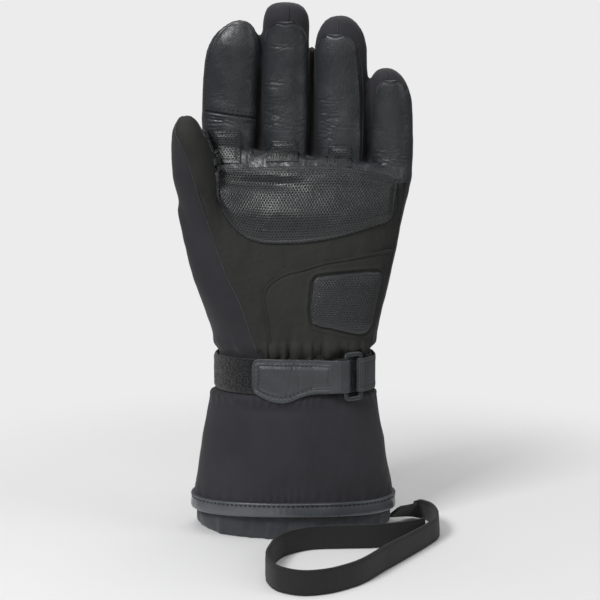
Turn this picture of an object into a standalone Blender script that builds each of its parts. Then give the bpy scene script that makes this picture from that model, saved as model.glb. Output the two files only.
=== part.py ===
"""A heated winter glove for the left hand, standing upright on its cuff, with its wrist leash on the floor.

The palm faces -Y, the fingers point up +Z and the thumb is at -X. The padded hand is a hollow shell, made
of lofts for the palm, the thumb and each finger. The gauntlet, the inner cuff and their trims are rings
round the same wrist. Leather panels lie on the hand's front, read off the same lofts.
"""

import math
from collections import namedtuple

import bpy
import bmesh
import numpy as np
from mathutils import Vector

# Driving sizes of the hand, in metres
HAND_WIDTH = 0.1278
WRIST_WIDTH = 0.0926
HAND_SHIFT = 0.0089
PALM_LENGTH = 0.133
PALM_DEPTH = 0.066
KNUCKLE_ROUND = 0.0045
KNUCKLE_FALL = 0.0075
INDEX_LENGTH = 0.0755
MIDDLE_LENGTH = 0.0894
RING_LENGTH = 0.0857
LITTLE_LENGTH = 0.0589
FINGER_DEPTH = 0.029
FINGER_CURL = 0.014
THUMB_LENGTH = 0.0744
THUMB_WIDTH = 0.0272
THUMB_DEPTH = 0.028
THUMB_FORWARD = 0.0323
THUMB_ROOT = 0.084
HAND_WALL = 0.004

# Driving sizes of the cuffs
HEM_WIDTH = 0.1250
HEM_DEPTH = 0.0690
GAUNTLET_LENGTH = 0.0825
GAUNTLET_WALL = 0.0022
HEM_HEIGHT = 0.0088
HEM_TAPE = 0.0009
CUFF_DROP = 0.0135
CUFF_TUCK = 0.022
CUFF_WALL = 0.0024
CUFF_FOOT_WIDTH = 0.1110
CUFF_FOOT_DEPTH = 0.0710
GATHER_DEPTH = 0.0011
GATHER_COUNT = 12

# Driving sizes of the straps, the buckle and the leash
BAND_HEIGHT = 0.0207
BAND_THICKNESS = 0.0015
TAB_THICKNESS = 0.0010
TAB_REACH = 0.0245
BUCKLE_PLACE = 0.0335
BUCKLE_HEIGHT = 0.0300
BUCKLE_WIDTH = 0.0145
BUCKLE_BAR = 0.0030
BUCKLE_THICKNESS = 0.0022
LEASH_HEIGHT = 0.0145
LEASH_THICKNESS = 0.0014
LEASH_SPAN = 0.1020
LEASH_REACH = 0.1015

# Leather and gaps
LEATHER = 0.0011
PADDED_LEATHER = 0.0021
GAP = 0.0003
PANEL_LIFT = 0.0006
BAND_LIFT = 0.0005

# Sides of the turned and lofted shapes
HAND_SIDES = 44
FINGER_SIDES = 16
CAVITY_SIDES = 20
FINGER_CAVITY_SIDES = 10
CUFF_SIDES = 36
FIELD_SIDES = 240
FIELD_STEP = 0.0005

# Heights that follow from the sizes
HEM_Z = CUFF_DROP
WRIST_Z = HEM_Z + GAUNTLET_LENGTH
KNUCKLE_Z = WRIST_Z + PALM_LENGTH
BAND_Z = WRIST_Z - 0.37 * BAND_HEIGHT
FLARE_Z = BAND_Z - GAP

# The palm's sections: height over the wrist as a share of PALM_LENGTH, spread from the wrist's width (0) to
# the hand's (1), shift as a share of HAND_SHIFT, and front and back as shares of PALM_DEPTH
PalmRow = namedtuple("PalmRow", "height spread shift front back")
PALM = (
    PalmRow(0.00, 0.000, 0.00, 0.470, 0.470),
    PalmRow(0.06, 0.000, 0.02, 0.470, 0.470),
    PalmRow(0.12, 0.010, 0.03, 0.472, 0.472),
    PalmRow(0.15, 0.150, 0.07, 0.496, 0.492),
    PalmRow(0.20, 0.225, 0.14, 0.502, 0.490),
    PalmRow(0.30, 0.335, 0.27, 0.500, 0.475),
    PalmRow(0.42, 0.475, 0.43, 0.492, 0.455),
    PalmRow(0.55, 0.620, 0.58, 0.475, 0.430),
    PalmRow(0.68, 0.745, 0.72, 0.450, 0.400),
    PalmRow(0.80, 0.860, 0.85, 0.415, 0.365),
    PalmRow(0.90, 0.940, 0.93, 0.365, 0.325),
    PalmRow(1.00, 1.000, 1.00, 0.300, 0.270),
)
PALM_POWER = 2.3

# The ball of the thumb swells the palm: reach as a share of THUMB_DEPTH, its direction and width in degrees
# round the palm's axis, from straight left towards the front
SwellRow = namedtuple("SwellRow", "height reach angle width")
SWELL = (
    SwellRow(0.00, 0.00, 32.0, 28.0),
    SwellRow(0.16, 0.00, 31.0, 27.0),
    SwellRow(0.23, 0.11, 28.0, 26.0),
    SwellRow(0.30, 0.26, 26.0, 25.0),
    SwellRow(0.42, 0.46, 23.0, 22.0),
    SwellRow(0.55, 0.63, 21.0, 19.0),
    SwellRow(0.68, 0.77, 19.5, 15.5),
    SwellRow(0.80, 0.93, 19.0, 12.5),
    SwellRow(0.86, 0.78, 19.5, 11.0),
    SwellRow(0.92, 0.30, 20.0, 9.5),
    SwellRow(1.00, 0.00, 20.0, 9.0),
)

# The thumb's sections: height as a share of THUMB_LENGTH over its root, its middle outside the hand's left
# side as a share of THUMB_WIDTH, forward as a share of THUMB_FORWARD, and shares of its width and depth
ThumbRow = namedtuple("ThumbRow", "height out forward width depth")
THUMB = (
    ThumbRow(0.000, -0.184, 0.53, 0.86, 0.84),
    ThumbRow(0.180, -0.040, 0.61, 0.92, 0.91),
    ThumbRow(0.336, 0.073, 0.68, 0.955, 0.965),
    ThumbRow(0.484, 0.136, 0.775, 1.00, 1.00),
    ThumbRow(0.645, 0.198, 0.85, 0.92, 0.985),
    ThumbRow(0.798, 0.283, 0.93, 0.75, 0.89),
    ThumbRow(0.900, 0.309, 0.975, 0.574, 0.68),
    ThumbRow(0.961, 0.305, 0.99, 0.368, 0.45),
    ThumbRow(0.992, 0.290, 1.00, 0.150, 0.18),
)

# The fingers: middle across and width as shares of half the hand's width and of its whole width, the tip's
# lean as a share of the finger's width, the share of the length that rounds off, and how blunt that is
Finger = namedtuple("Finger", "name length middle width lean rounding blunt")
FINGERS = (
    Finger("index", INDEX_LENGTH, -0.7355, 0.2630, 0.215, 0.29, 2.0),
    Finger("middle", MIDDLE_LENGTH, -0.2105, 0.2320, 0.020, 0.18, 3.0),
    Finger("ring", RING_LENGTH, 0.3100, 0.2560, -0.030, 0.28, 2.3),
    Finger("little", LITTLE_LENGTH, 0.7830, 0.2120, -0.160, 0.38, 2.3),
)
FINGER_POWER = 2.15
# Width and depth along a finger as shares, before its tip rounds off
TaperRow = namedtuple("TaperRow", "along width depth")
TAPER = (
    TaperRow(-0.22, 0.86, 0.84),
    TaperRow(0.00, 0.965, 0.96),
    TaperRow(0.12, 1.00, 1.00),
    TaperRow(0.45, 1.00, 0.99),
    TaperRow(0.70, 0.97, 0.95),
    TaperRow(1.00, 0.93, 0.88),
)
FINGER_STOPS = (-0.22, 0.0, 0.12, 0.30, 0.50)
TIP_STOPS = (0.0, 0.35, 0.60, 0.80, 0.93, 0.99)
CAVITY_STOPS = (-0.26, 0.10, 0.50)
CAVITY_TIP_STOPS = (0.10, 0.60, 0.94)

# The gauntlet's sections: share of the way down from the band's lower edge, spread from wrist (0) to hem (1)
FlareRow = namedtuple("FlareRow", "drop spread")
FLARE = (
    FlareRow(0.000, 0.000),
    FlareRow(0.030, 0.250),
    FlareRow(0.080, 0.310),
    FlareRow(0.240, 0.450),
    FlareRow(0.440, 0.640),
    FlareRow(0.650, 0.795),
    FlareRow(0.840, 0.930),
    FlareRow(1.000, 1.000),
)
# Folds of the cloth, in the cloth of the gauntlet: across as a share of the half width, drop as a share of
# the length, and depth, width and height as shares of the wall and of the same two sizes
FoldRow = namedtuple("FoldRow", "across drop depth width height")
FOLDS = (
    FoldRow(-0.86, 0.060, -0.60, 0.16, 0.045),
    FoldRow(-0.13, 0.095, -0.60, 0.24, 0.045),
    FoldRow(0.55, 0.110, -0.35, 0.20, 0.060),
    FoldRow(0.86, 0.580, 0.35, 0.09, 0.300),
    FoldRow(-0.55, 0.330, 0.30, 0.22, 0.160),
)

# The inner cuff's sections: height as a share of CUFF_DROP, spread from the foot's size (0) to just inside
# the gauntlet (1), and how far its gathers stand out
CuffRow = namedtuple("CuffRow", "height spread gather")
CUFF = (
    CuffRow(0.00, 0.00, 0.80),
    CuffRow(0.22, 0.66, 1.00),
    CuffRow(0.50, 1.00, 0.70),
    CuffRow(0.78, 1.00, 0.35),
    CuffRow(1.00, 0.95, 0.00),
)

# Edges of the panels on the palm, read at shares of PALM_LENGTH over the wrist and of the half width beside
# the palm's middle there. A row runs across the glove and a column runs up it.
EdgeRow = namedtuple("EdgeRow", "height left right")
EdgeColumn = namedtuple("EdgeColumn", "across bottom top")
PALM_PATCH = (
    EdgeColumn(-0.862, 0.830, 0.938),
    EdgeColumn(-0.820, 0.774, 0.944),
    EdgeColumn(-0.735, 0.706, 0.947),
    EdgeColumn(-0.616, 0.652, 0.950),
    EdgeColumn(-0.465, 0.624, 0.953),
    EdgeColumn(-0.190, 0.616, 0.957),
    EdgeColumn(0.050, 0.622, 0.958),
    EdgeColumn(0.250, 0.635, 0.955),
    EdgeColumn(0.400, 0.650, 0.945),
    EdgeColumn(0.550, 0.670, 0.930),
    EdgeColumn(0.700, 0.692, 0.916),
    EdgeColumn(0.800, 0.706, 0.905),
    EdgeColumn(0.860, 0.730, 0.880),
)
PALM_LEATHER = (
    EdgeColumn(-0.150, 0.514, 0.604),
    EdgeColumn(-0.020, 0.516, 0.606),
    EdgeColumn(0.085, 0.527, 0.610),
    EdgeColumn(0.220, 0.542, 0.620),
    EdgeColumn(0.400, 0.556, 0.638),
    EdgeColumn(0.550, 0.567, 0.657),
    EdgeColumn(0.700, 0.578, 0.680),
    EdgeColumn(0.800, 0.585, 0.695),
    EdgeColumn(0.864, 0.590, 0.716),
    EdgeColumn(0.882, 0.592, 0.880),
    EdgeColumn(0.940, 0.598, 0.876),
)
HEEL_PANEL = (
    EdgeColumn(-0.392, 0.340, 0.405),
    EdgeColumn(-0.372, 0.285, 0.428),
    EdgeColumn(-0.334, 0.222, 0.448),
    EdgeColumn(-0.312, 0.190, 0.460),
    EdgeColumn(-0.200, 0.190, 0.486),
    EdgeColumn(-0.100, 0.190, 0.497),
    EdgeColumn(0.020, 0.190, 0.506),
    EdgeColumn(0.200, 0.190, 0.527),
    EdgeColumn(0.400, 0.190, 0.543),
    EdgeColumn(0.600, 0.190, 0.558),
    EdgeColumn(0.800, 0.190, 0.572),
    EdgeColumn(0.925, 0.190, 0.582),
)
HEEL_PATCH = (
    EdgeColumn(0.135, 0.330, 0.450),
    EdgeColumn(0.165, 0.278, 0.470),
    EdgeColumn(0.230, 0.258, 0.478),
    EdgeColumn(0.400, 0.240, 0.486),
    EdgeColumn(0.600, 0.220, 0.492),
    EdgeColumn(0.760, 0.212, 0.494),
    EdgeColumn(0.830, 0.225, 0.488),
    EdgeColumn(0.862, 0.255, 0.466),
)
THUMB_LEATHER = (
    EdgeRow(0.190, -0.502, -0.334),
    EdgeRow(0.220, -0.530, -0.348),
    EdgeRow(0.280, -0.585, -0.377),
    EdgeRow(0.371, -0.666, -0.418),
    EdgeRow(0.425, -0.725, -0.399),
    EdgeRow(0.467, -0.772, -0.316),
    EdgeRow(0.497, -0.798, -0.186),
    EdgeRow(0.512, -0.812, -0.172),
    EdgeRow(0.560, -0.852, -0.182),
    EdgeRow(0.604, -0.882, -0.192),
    EdgeRow(0.616, -0.890, -0.440),
    EdgeRow(0.646, -0.908, -0.645),
    EdgeRow(0.700, -0.942, -0.765),
    EdgeRow(0.770, -0.985, -0.850),
    EdgeRow(0.830, -1.014, -0.876),
    EdgeRow(0.900, -1.048, -0.884),
    EdgeRow(0.960, -1.072, -0.895),
    EdgeRow(1.013, -1.107, -0.930),
    EdgeRow(1.060, -1.150, -0.965),
    EdgeRow(1.104, -1.205, -0.995),
    EdgeRow(1.135, -1.222, -1.030),
)

# Edges of the panels on the fingers, at shares of the finger's length and of half its width
INDEX_BASE_LEATHER = (
    EdgeRow(0.010, -0.800, 0.780),
    EdgeRow(0.100, -0.850, 0.800),
    EdgeRow(0.200, -0.860, 0.820),
    EdgeRow(0.255, -0.840, 0.830),
)
INDEX_TIP_LEATHER = (
    EdgeRow(0.270, -0.830, 0.840),
    EdgeRow(0.450, -0.760, 0.860),
    EdgeRow(0.600, -0.700, 0.850),
    EdgeRow(0.720, -0.640, 0.820),
    EdgeRow(0.820, -0.560, 0.740),
    EdgeRow(0.890, -0.440, 0.590),
    EdgeRow(0.940, -0.290, 0.430),
    EdgeRow(0.965, -0.160, 0.300),
)
MIDDLE_LEATHER = (
    EdgeRow(0.010, -0.800, 0.790),
    EdgeRow(0.150, -0.850, 0.830),
    EdgeRow(0.450, -0.860, 0.840),
    EdgeRow(0.700, -0.800, 0.810),
    EdgeRow(0.790, -0.690, 0.740),
    EdgeRow(0.835, -0.500, 0.570),
    EdgeRow(0.858, -0.250, 0.380),
)
RING_LEATHER = (
    EdgeRow(0.010, -0.800, 0.520),
    EdgeRow(0.150, -0.840, 0.560),
    EdgeRow(0.400, -0.850, 0.610),
    EdgeRow(0.600, -0.850, 0.560),
    EdgeRow(0.750, -0.780, 0.460),
    EdgeRow(0.825, -0.620, 0.310),
    EdgeRow(0.855, -0.400, 0.120),
)
LITTLE_LEATHER = (
    EdgeRow(0.010, -0.720, 0.740),
    EdgeRow(0.200, -0.840, 0.740),
    EdgeRow(0.400, -0.860, 0.680),
    EdgeRow(0.600, -0.820, 0.580),
    EdgeRow(0.740, -0.680, 0.450),
    EdgeRow(0.820, -0.480, 0.300),
    EdgeRow(0.855, -0.280, 0.120),
)
INDEX_TAB = (
    EdgeRow(-0.110, -0.500, 0.420),
    EdgeRow(0.000, -0.530, 0.410),
    EdgeRow(0.130, -0.510, 0.390),
)
MIDDLE_TAB = (
    EdgeRow(-0.020, -0.600, 0.480),
    EdgeRow(0.035, -0.580, 0.450),
    EdgeRow(0.095, -0.540, 0.430),
)
RING_TAB = (
    EdgeRow(-0.010, -0.420, 0.340),
    EdgeRow(0.050, -0.430, 0.340),
    EdgeRow(0.110, -0.420, 0.320),
)

# The pull tab's edges: across as a share of TAB_REACH left of the glove's middle (1) and of BUCKLE_PLACE
# right of it (-1), and its bottom and top as shares of BAND_HEIGHT over the band's lower edge
TabColumn = namedtuple("TabColumn", "across bottom top")
PULL_TAB = (
    TabColumn(1.00, 0.150, 0.880),
    TabColumn(0.94, 0.040, 0.990),
    TabColumn(0.76, -0.090, 1.015),
    TabColumn(0.46, -0.200, 1.020),
    TabColumn(0.08, -0.190, 1.020),
    TabColumn(-0.20, -0.020, 1.010),
    TabColumn(-0.48, 0.050, 1.000),
    TabColumn(-0.72, 0.070, 0.990),
    TabColumn(-0.86, 0.080, 0.985),
)

# The leash on the floor: shares of LEASH_SPAN right of the cuff's right side and of LEASH_REACH in front of
# the cuff's front, the lean of the webbing in degrees, and its rise off the floor as a share of CUFF_DROP
LeashRow = namedtuple("LeashRow", "right front lean rise")
LEASH = (
    LeashRow(0.005, -0.312, 52.0, 0.25),
    LeashRow(0.083, -0.372, 48.0, 0.15),
    LeashRow(0.153, -0.422, 40.0, 0.05),
    LeashRow(0.223, -0.402, 26.0, 0.0),
    LeashRow(0.271, -0.312, 14.0, 0.0),
    LeashRow(0.295, -0.152, 6.0, 0.0),
    LeashRow(0.273, 0.018, 2.0, 0.0),
    LeashRow(0.203, 0.158, 0.0, 0.0),
    LeashRow(0.108, 0.318, 0.0, 0.0),
    LeashRow(-0.052, 0.578, 0.0, 0.0),
    LeashRow(-0.277, 0.908, 0.0, 0.0),
    LeashRow(-0.407, 0.998, 0.0, 0.0),
    LeashRow(-0.527, 1.023, 0.0, 0.0),
    LeashRow(-0.647, 0.958, 0.0, 0.0),
    LeashRow(-0.712, 0.808, 0.0, 0.0),
    LeashRow(-0.702, 0.588, 0.0, 0.0),
    LeashRow(-0.622, 0.348, 0.0, 0.0),
    LeashRow(-0.477, 0.233, 0.0, 0.0),
    LeashRow(-0.297, 0.208, 0.0, 0.0),
    LeashRow(-0.097, 0.193, 0.0, 0.0),
    LeashRow(0.083, 0.138, 0.0, 0.0),
    LeashRow(0.193, 0.073, 0.0, 0.0),
)
LEASH_STEPS = 58

# Colours, sRGB as seen, with roughness and metallic
Finish = namedtuple("Finish", "red green blue roughness metallic")
FINISHES = {
    "softshell": Finish(0.19, 0.19, 0.21, 0.85, 0.0),
    "lining_cloth": Finish(0.22, 0.235, 0.25, 0.80, 0.0),
    "smooth_leather": Finish(0.21, 0.22, 0.235, 0.38, 0.0),
    "matte_leather": Finish(0.215, 0.215, 0.205, 0.70, 0.0),
    "grip_leather": Finish(0.20, 0.205, 0.21, 0.45, 0.0),
    "hem_tape": Finish(0.26, 0.275, 0.29, 0.40, 0.0),
    "pile": Finish(0.14, 0.14, 0.16, 0.95, 0.0),
    "buckle_plastic": Finish(0.21, 0.225, 0.235, 0.30, 0.0),
    "webbing": Finish(0.20, 0.20, 0.20, 0.80, 0.0),
}


def clear_scene():
    for thing in list(bpy.context.scene.objects):
        bpy.data.objects.remove(thing, do_unlink=True)


def collection(name):
    made = bpy.data.collections.new(name)
    bpy.context.scene.collection.children.link(made)
    return made


def material(name):
    if name in bpy.data.materials:
        return bpy.data.materials[name]
    finish = FINISHES[name]
    made = bpy.data.materials.new(name)
    made.use_nodes = True
    shader = made.node_tree.nodes["Principled BSDF"]
    linear = [c / 12.92 if c <= 0.04045 else ((c + 0.055) / 1.055) ** 2.4 for c in finish[:3]]
    shader.inputs["Base Color"].default_value = (*linear, 1.0)
    shader.inputs["Roughness"].default_value = finish.roughness
    shader.inputs["Metallic"].default_value = finish.metallic
    return made


def read_table(rows, at):
    """The table's columns at the given positions, by smooth cubic pieces through its rows."""
    table = np.array(rows, float)
    place, value = table[:, 0], table[:, 1:]
    slope = np.gradient(value, place, axis=0)
    at = np.clip(np.atleast_1d(np.asarray(at, float)), place[0], place[-1])
    k = np.clip(np.searchsorted(place, at, side="right") - 1, 0, len(place) - 2)
    step = (place[k + 1] - place[k])[:, None]
    t = (at - place[k])[:, None] / step
    start = (1 + 2 * t) * (1 - t) ** 2 * value[k] + t * (1 - t) ** 2 * step * slope[k]
    end = t * t * (3 - 2 * t) * value[k + 1] - t * t * (1 - t) * step * slope[k + 1]
    return start + end


def oval(sides, left, right, front, back, power):
    """A closed outline round the origin: a superellipse with its own half size on each side."""
    turn = np.linspace(0, 2 * math.pi, sides, endpoint=False)
    c, s = np.cos(turn), np.sin(turn)
    x = np.sign(c) * np.abs(c) ** (2 / power) * np.where(c > 0, right, left)
    y = np.sign(s) * np.abs(s) ** (2 / power) * np.where(s > 0, back, front)
    return np.stack([x, y], axis=1)


def pushed_out(outline, distance):
    """The outline moved out along its own normals, or in where the distance is negative."""
    along = np.roll(outline, -1, axis=0) - np.roll(outline, 1, axis=0)
    normal = np.stack([along[:, 1], -along[:, 0]], axis=1)
    normal /= np.linalg.norm(normal, axis=1)[:, None]
    return outline + normal * np.reshape(distance, (-1, 1))


def at_height(outline, z):
    return np.column_stack([outline, np.full(len(outline), z)])


def palm_size(height):
    """Half width, middle, front and back of the palm at shares of PALM_LENGTH over the wrist."""
    row = read_table(PALM, height)
    half = WRIST_WIDTH / 2 + row[:, 0] * (HAND_WIDTH - WRIST_WIDTH) / 2
    return half, row[:, 1] * HAND_SHIFT, row[:, 2] * PALM_DEPTH, row[:, 3] * PALM_DEPTH


def palm_ring(height, sides, inset=0.0, rise=0.0):
    """A section of the palm, swollen by the ball of the thumb, gathered over the wrist and sloping along
    the knuckles. Rise lifts it over its own height, as where the palm closes over."""
    (half,), (middle,), (front,), (back,) = palm_size(height)
    outline = oval(sides, half, half, front, back, PALM_POWER)
    reach, angle, width = read_table(SWELL, height)[0]
    radius = np.hypot(outline[:, 0], outline[:, 1])
    turn = np.degrees(np.arctan2(-outline[:, 1], -outline[:, 0]))
    swell = reach * THUMB_DEPTH * np.exp(-(((turn - angle) / width) ** 2))
    outline *= (1 + swell / radius)[:, None]
    turns = np.linspace(0, 2 * math.pi, sides, endpoint=False)
    gather = GATHER_DEPTH * math.exp(-(((height - 0.155) / 0.016) ** 2))
    outline = pushed_out(outline, gather * np.cos(GATHER_COUNT * turns) - inset)
    ring = at_height(outline + (middle, 0), WRIST_Z + height * PALM_LENGTH + rise)
    fall = np.clip((height - 0.7) / 0.3, 0, 1) ** 2
    ring[:, 2] -= fall * KNUCKLE_FALL * outline[:, 0] / (HAND_WIDTH / 2)
    return ring


def palm_rings(sides, stops, inset=0.0, closed=True):
    rings = [palm_ring(height, sides, inset) for height in stops]
    if closed:
        for share in (0.45, 0.80, 0.97):
            drop = KNUCKLE_ROUND * (1 - math.sqrt(1 - share**2))
            rings.append(palm_ring(1.0, sides, inset + drop, KNUCKLE_ROUND * (share - 1)))
    return np.array(rings)


def thumb_left():
    return HAND_SHIFT - HAND_WIDTH / 2


def thumb_rings(sides, stops, inset=0.0):
    rings = []
    for height, (out, forward, width, depth) in zip(stops, read_table(THUMB, stops)):
        half = max(width * THUMB_WIDTH / 2 - inset, 0.0006)
        deep = max(depth * THUMB_DEPTH / 2 - inset, 0.0006)
        outline = oval(sides, half, half, deep, deep, FINGER_POWER)
        outline += (thumb_left() - out * THUMB_WIDTH, -forward * THUMB_FORWARD)
        rings.append(at_height(outline, WRIST_Z + THUMB_ROOT + height * THUMB_LENGTH))
    return np.array(rings)


def finger_frame(finger, along):
    """A finger's middle across and forward, and its half width and depth, at shares of its length."""
    along = np.atleast_1d(along)
    width, depth = read_table(TAPER, along).T
    start = 1 - finger.rounding
    past = np.clip((along - start) / finger.rounding, 0, 1)
    shrink = (1 - past**finger.blunt) ** (1 / finger.blunt)
    full = finger.width * HAND_WIDTH
    middle = HAND_SHIFT + finger.middle * HAND_WIDTH / 2
    lean = finger.lean * full * np.clip(along, 0, 1) ** 3.5
    curl = -FINGER_CURL * np.clip(along, 0, 1) ** 2
    return middle + lean, curl - 0.001, width * shrink * full / 2, depth * shrink * FINGER_DEPTH / 2


def knuckle_height(x):
    """The height of the knuckles' line, which falls from the index to the little finger."""
    return KNUCKLE_Z - KNUCKLE_FALL * (x - HAND_SHIFT) / (HAND_WIDTH / 2)


def finger_base(finger):
    return knuckle_height(HAND_SHIFT + finger.middle * HAND_WIDTH / 2)


def finger_rings(finger, sides, stops, tip_stops, inset=0.0):
    along = [*stops, *(1 - finger.rounding * (1 - t) for t in tip_stops)]
    rings = []
    base = finger_base(finger)
    top = finger.length - inset
    for share, x, y, half, deep in zip(along, *finger_frame(finger, along)):
        width = max(half - inset, 0.0008)
        depth = max(deep - inset, 0.0008)
        outline = oval(sides, width, width, depth, depth, FINGER_POWER) + (x, y)
        rings.append(at_height(outline, base + share * top))
    return np.array(rings)


def loft(rings, name, home, finish, looped=False):
    """A closed skin through rings of points, closed at both ends, or joined last to first if looped."""
    count, sides = rings.shape[:2]
    mesh = bmesh.new()
    points = [[mesh.verts.new(p) for p in ring] for ring in rings]
    spans = range(count) if looped else range(count - 1)
    for i in spans:
        low, high = points[i], points[(i + 1) % count]
        for j in range(sides):
            k = (j + 1) % sides
            mesh.faces.new((low[j], low[k], high[k], high[j]))
    if not looped:
        mesh.faces.new(points[0][::-1])
        mesh.faces.new(points[-1])
    bmesh.ops.recalc_face_normals(mesh, faces=mesh.faces)
    return placed(mesh, name, home, finish)


def placed(mesh, name, home, finish):
    data = bpy.data.meshes.new(name)
    mesh.to_mesh(data)
    mesh.free()
    data.shade_smooth()
    data.set_sharp_from_angle(angle=math.radians(50))
    made = bpy.data.objects.new(name, data)
    made.data.materials.append(material(finish))
    home.objects.link(made)
    return made


def as_cutter(made):
    made.hide_render = True
    made.display_type = "WIRE"
    return made


def joined(target, other, operation):
    change = target.modifiers.new(f"{operation.lower()} {other.name}", "BOOLEAN")
    change.operation = operation
    change.object = other
    change.solver = "EXACT"


def make_hand(home, cutters):
    """The hollow hand: palm, thumb and fingers in one shell, open at the wrist."""
    stops = (0.0015, 0.06, 0.12, 0.14, 0.155, 0.17, 0.20, 0.30, 0.42, 0.55, 0.67, 0.77, 0.84, 0.90, 0.955)
    hand = loft(palm_rings(HAND_SIDES, stops), "hand_shell", home, "softshell")
    thumb_stops = [row.height for row in THUMB]
    parts = [loft(thumb_rings(FINGER_SIDES, thumb_stops), "thumb_form", cutters, "softshell")]
    for finger in FINGERS:
        rings = finger_rings(finger, FINGER_SIDES, FINGER_STOPS, TIP_STOPS)
        parts.append(loft(rings, f"{finger.name}_form", cutters, "softshell"))
    for part in parts:
        joined(hand, as_cutter(part), "UNION")
    hollow_stops = (-0.03, 0.10, 0.25, 0.42, 0.58, 0.72, 0.84, 0.93)
    hollows = [loft(palm_rings(CAVITY_SIDES, hollow_stops, HAND_WALL, False), "palm_hollow", cutters, "softshell")]
    thumb_hollow = thumb_rings(FINGER_CAVITY_SIDES, (0.06, 0.30, 0.50, 0.70, 0.85), HAND_WALL)
    hollows.append(loft(thumb_hollow, "thumb_hollow", cutters, "softshell"))
    for finger in FINGERS:
        rings = finger_rings(finger, FINGER_CAVITY_SIDES, CAVITY_STOPS, CAVITY_TIP_STOPS, HAND_WALL)
        hollows.append(loft(rings, f"{finger.name}_hollow", cutters, "softshell"))
    for hollow in hollows:
        joined(hand, as_cutter(hollow), "DIFFERENCE")
    return hand


def gauntlet_ring(drop, sides, inset=0.0):
    """A section of the gauntlet at a share of the way from the band's lower edge down to the hem. Over that
    edge, where the share is negative, it goes on straight up to the wrist."""
    spread = read_table(FLARE, drop)[0, 0]
    (wrist,), _, (front,), (back,) = palm_size(0.0)
    half = wrist + spread * (HEM_WIDTH / 2 - wrist)
    deep_front = front + spread * (HEM_DEPTH / 2 - front)
    deep_back = back + spread * (HEM_DEPTH / 2 - back)
    outline = oval(sides, half, half, deep_front, deep_back, PALM_POWER - 0.2 * spread)
    across = outline[:, 0] / half
    fold = np.zeros(sides)
    for row in FOLDS:
        near = ((across - row.across) / row.width) ** 2 + ((drop - row.drop) / row.height) ** 2
        fold += row.depth * GAUNTLET_WALL * np.exp(-near) * (outline[:, 1] < 0)
    return at_height(pushed_out(outline, fold - inset), FLARE_Z - drop * (FLARE_Z - HEM_Z))


def gauntlet_drop(z):
    return (FLARE_Z - z) / (FLARE_Z - HEM_Z)


def make_gauntlet(home):
    top = gauntlet_drop(WRIST_Z - GAP / 2)
    bottom = gauntlet_drop(HEM_Z + HEM_TAPE + GAP)
    drops = (bottom, 0.84, 0.65, 0.44, 0.24, 0.14, 0.08, 0.035, 0.0, top)
    outer = [gauntlet_ring(drop, CUFF_SIDES) for drop in drops]
    inner = [gauntlet_ring(drop, CUFF_SIDES, GAUNTLET_WALL) for drop in (top, 0.0, 0.08, 0.44, bottom)]
    return loft(np.array(outer + inner), "gauntlet", home, "softshell", looped=True)


def make_hem(home):
    """The tape that wraps the gauntlet's lower edge, with a raised line along its top."""
    outline = gauntlet_ring(1.0, CUFF_SIDES)[:, :2]
    under = GAUNTLET_WALL + GAP + HEM_TAPE
    section = (
        (GAP, HEM_HEIGHT),
        (GAP + HEM_TAPE * 1.4, HEM_HEIGHT),
        (GAP + HEM_TAPE * 1.4, 0.86 * HEM_HEIGHT),
        (GAP + HEM_TAPE, 0.80 * HEM_HEIGHT),
        (GAP + HEM_TAPE, 0.12 * HEM_HEIGHT),
        (0.0, 0.0),
        (-under, 0.0),
        (-under, HEM_TAPE),
        (GAP, HEM_TAPE),
    )
    rings = []
    for out, up in section:
        rise = gauntlet_ring(gauntlet_drop(HEM_Z + up), CUFF_SIDES)[:, :2] if up > HEM_TAPE else outline
        rings.append(at_height(pushed_out(rise, out), HEM_Z + up))
    return loft(np.array(rings), "hem_binding", home, "hem_tape", looped=True)


def cuff_ring(height, inset=0.0):
    """A section of the inner cuff at a height over the floor: gathered below the hem, plain inside."""
    spread, gather = read_table(CUFF, height / CUFF_DROP)[0]
    room = GAUNTLET_WALL + 3 * GAP + HEM_TAPE
    wide = HEM_WIDTH / 2 - room
    deep = HEM_DEPTH / 2 - room
    half = CUFF_FOOT_WIDTH / 2 + spread * (wide - CUFF_FOOT_WIDTH / 2)
    depth = CUFF_FOOT_DEPTH / 2 + spread * (deep - CUFF_FOOT_DEPTH / 2)
    outline = oval(CUFF_SIDES, half, half, depth, depth, 2.1)
    turns = np.linspace(0, 2 * math.pi, CUFF_SIDES, endpoint=False)
    swing = np.cos(10 * turns + 0.6) + 0.5 * np.cos(7 * turns)
    return pushed_out(outline, gather * GATHER_DEPTH * swing - inset)


def make_inner_cuff(home):
    lows = [CUFF_DROP * share for share in (0.0, 0.22, 0.50, 0.78, 0.94)]
    outer = [at_height(cuff_ring(z), z) for z in lows]
    inner = [at_height(cuff_ring(z, CUFF_WALL), z) for z in lows[::2]]
    step = CUFF_TUCK / 2
    for rise in (step, 2 * step):
        depth = GAUNTLET_WALL + 3 * GAP
        above = gauntlet_ring(gauntlet_drop(HEM_Z + rise), CUFF_SIDES, depth)[:, :2]
        outer.append(at_height(above, HEM_Z + rise))
        inner.append(at_height(pushed_out(above, -CUFF_WALL), HEM_Z + rise))
    return loft(np.array(outer + inner[::-1]), "inner_cuff", home, "lining_cloth", looped=True)


def wrist_outline(sides, out=0.0):
    """The glove's outline under the band, pushed out."""
    return pushed_out(palm_ring(0.04, sides)[:, :2], out)


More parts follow.
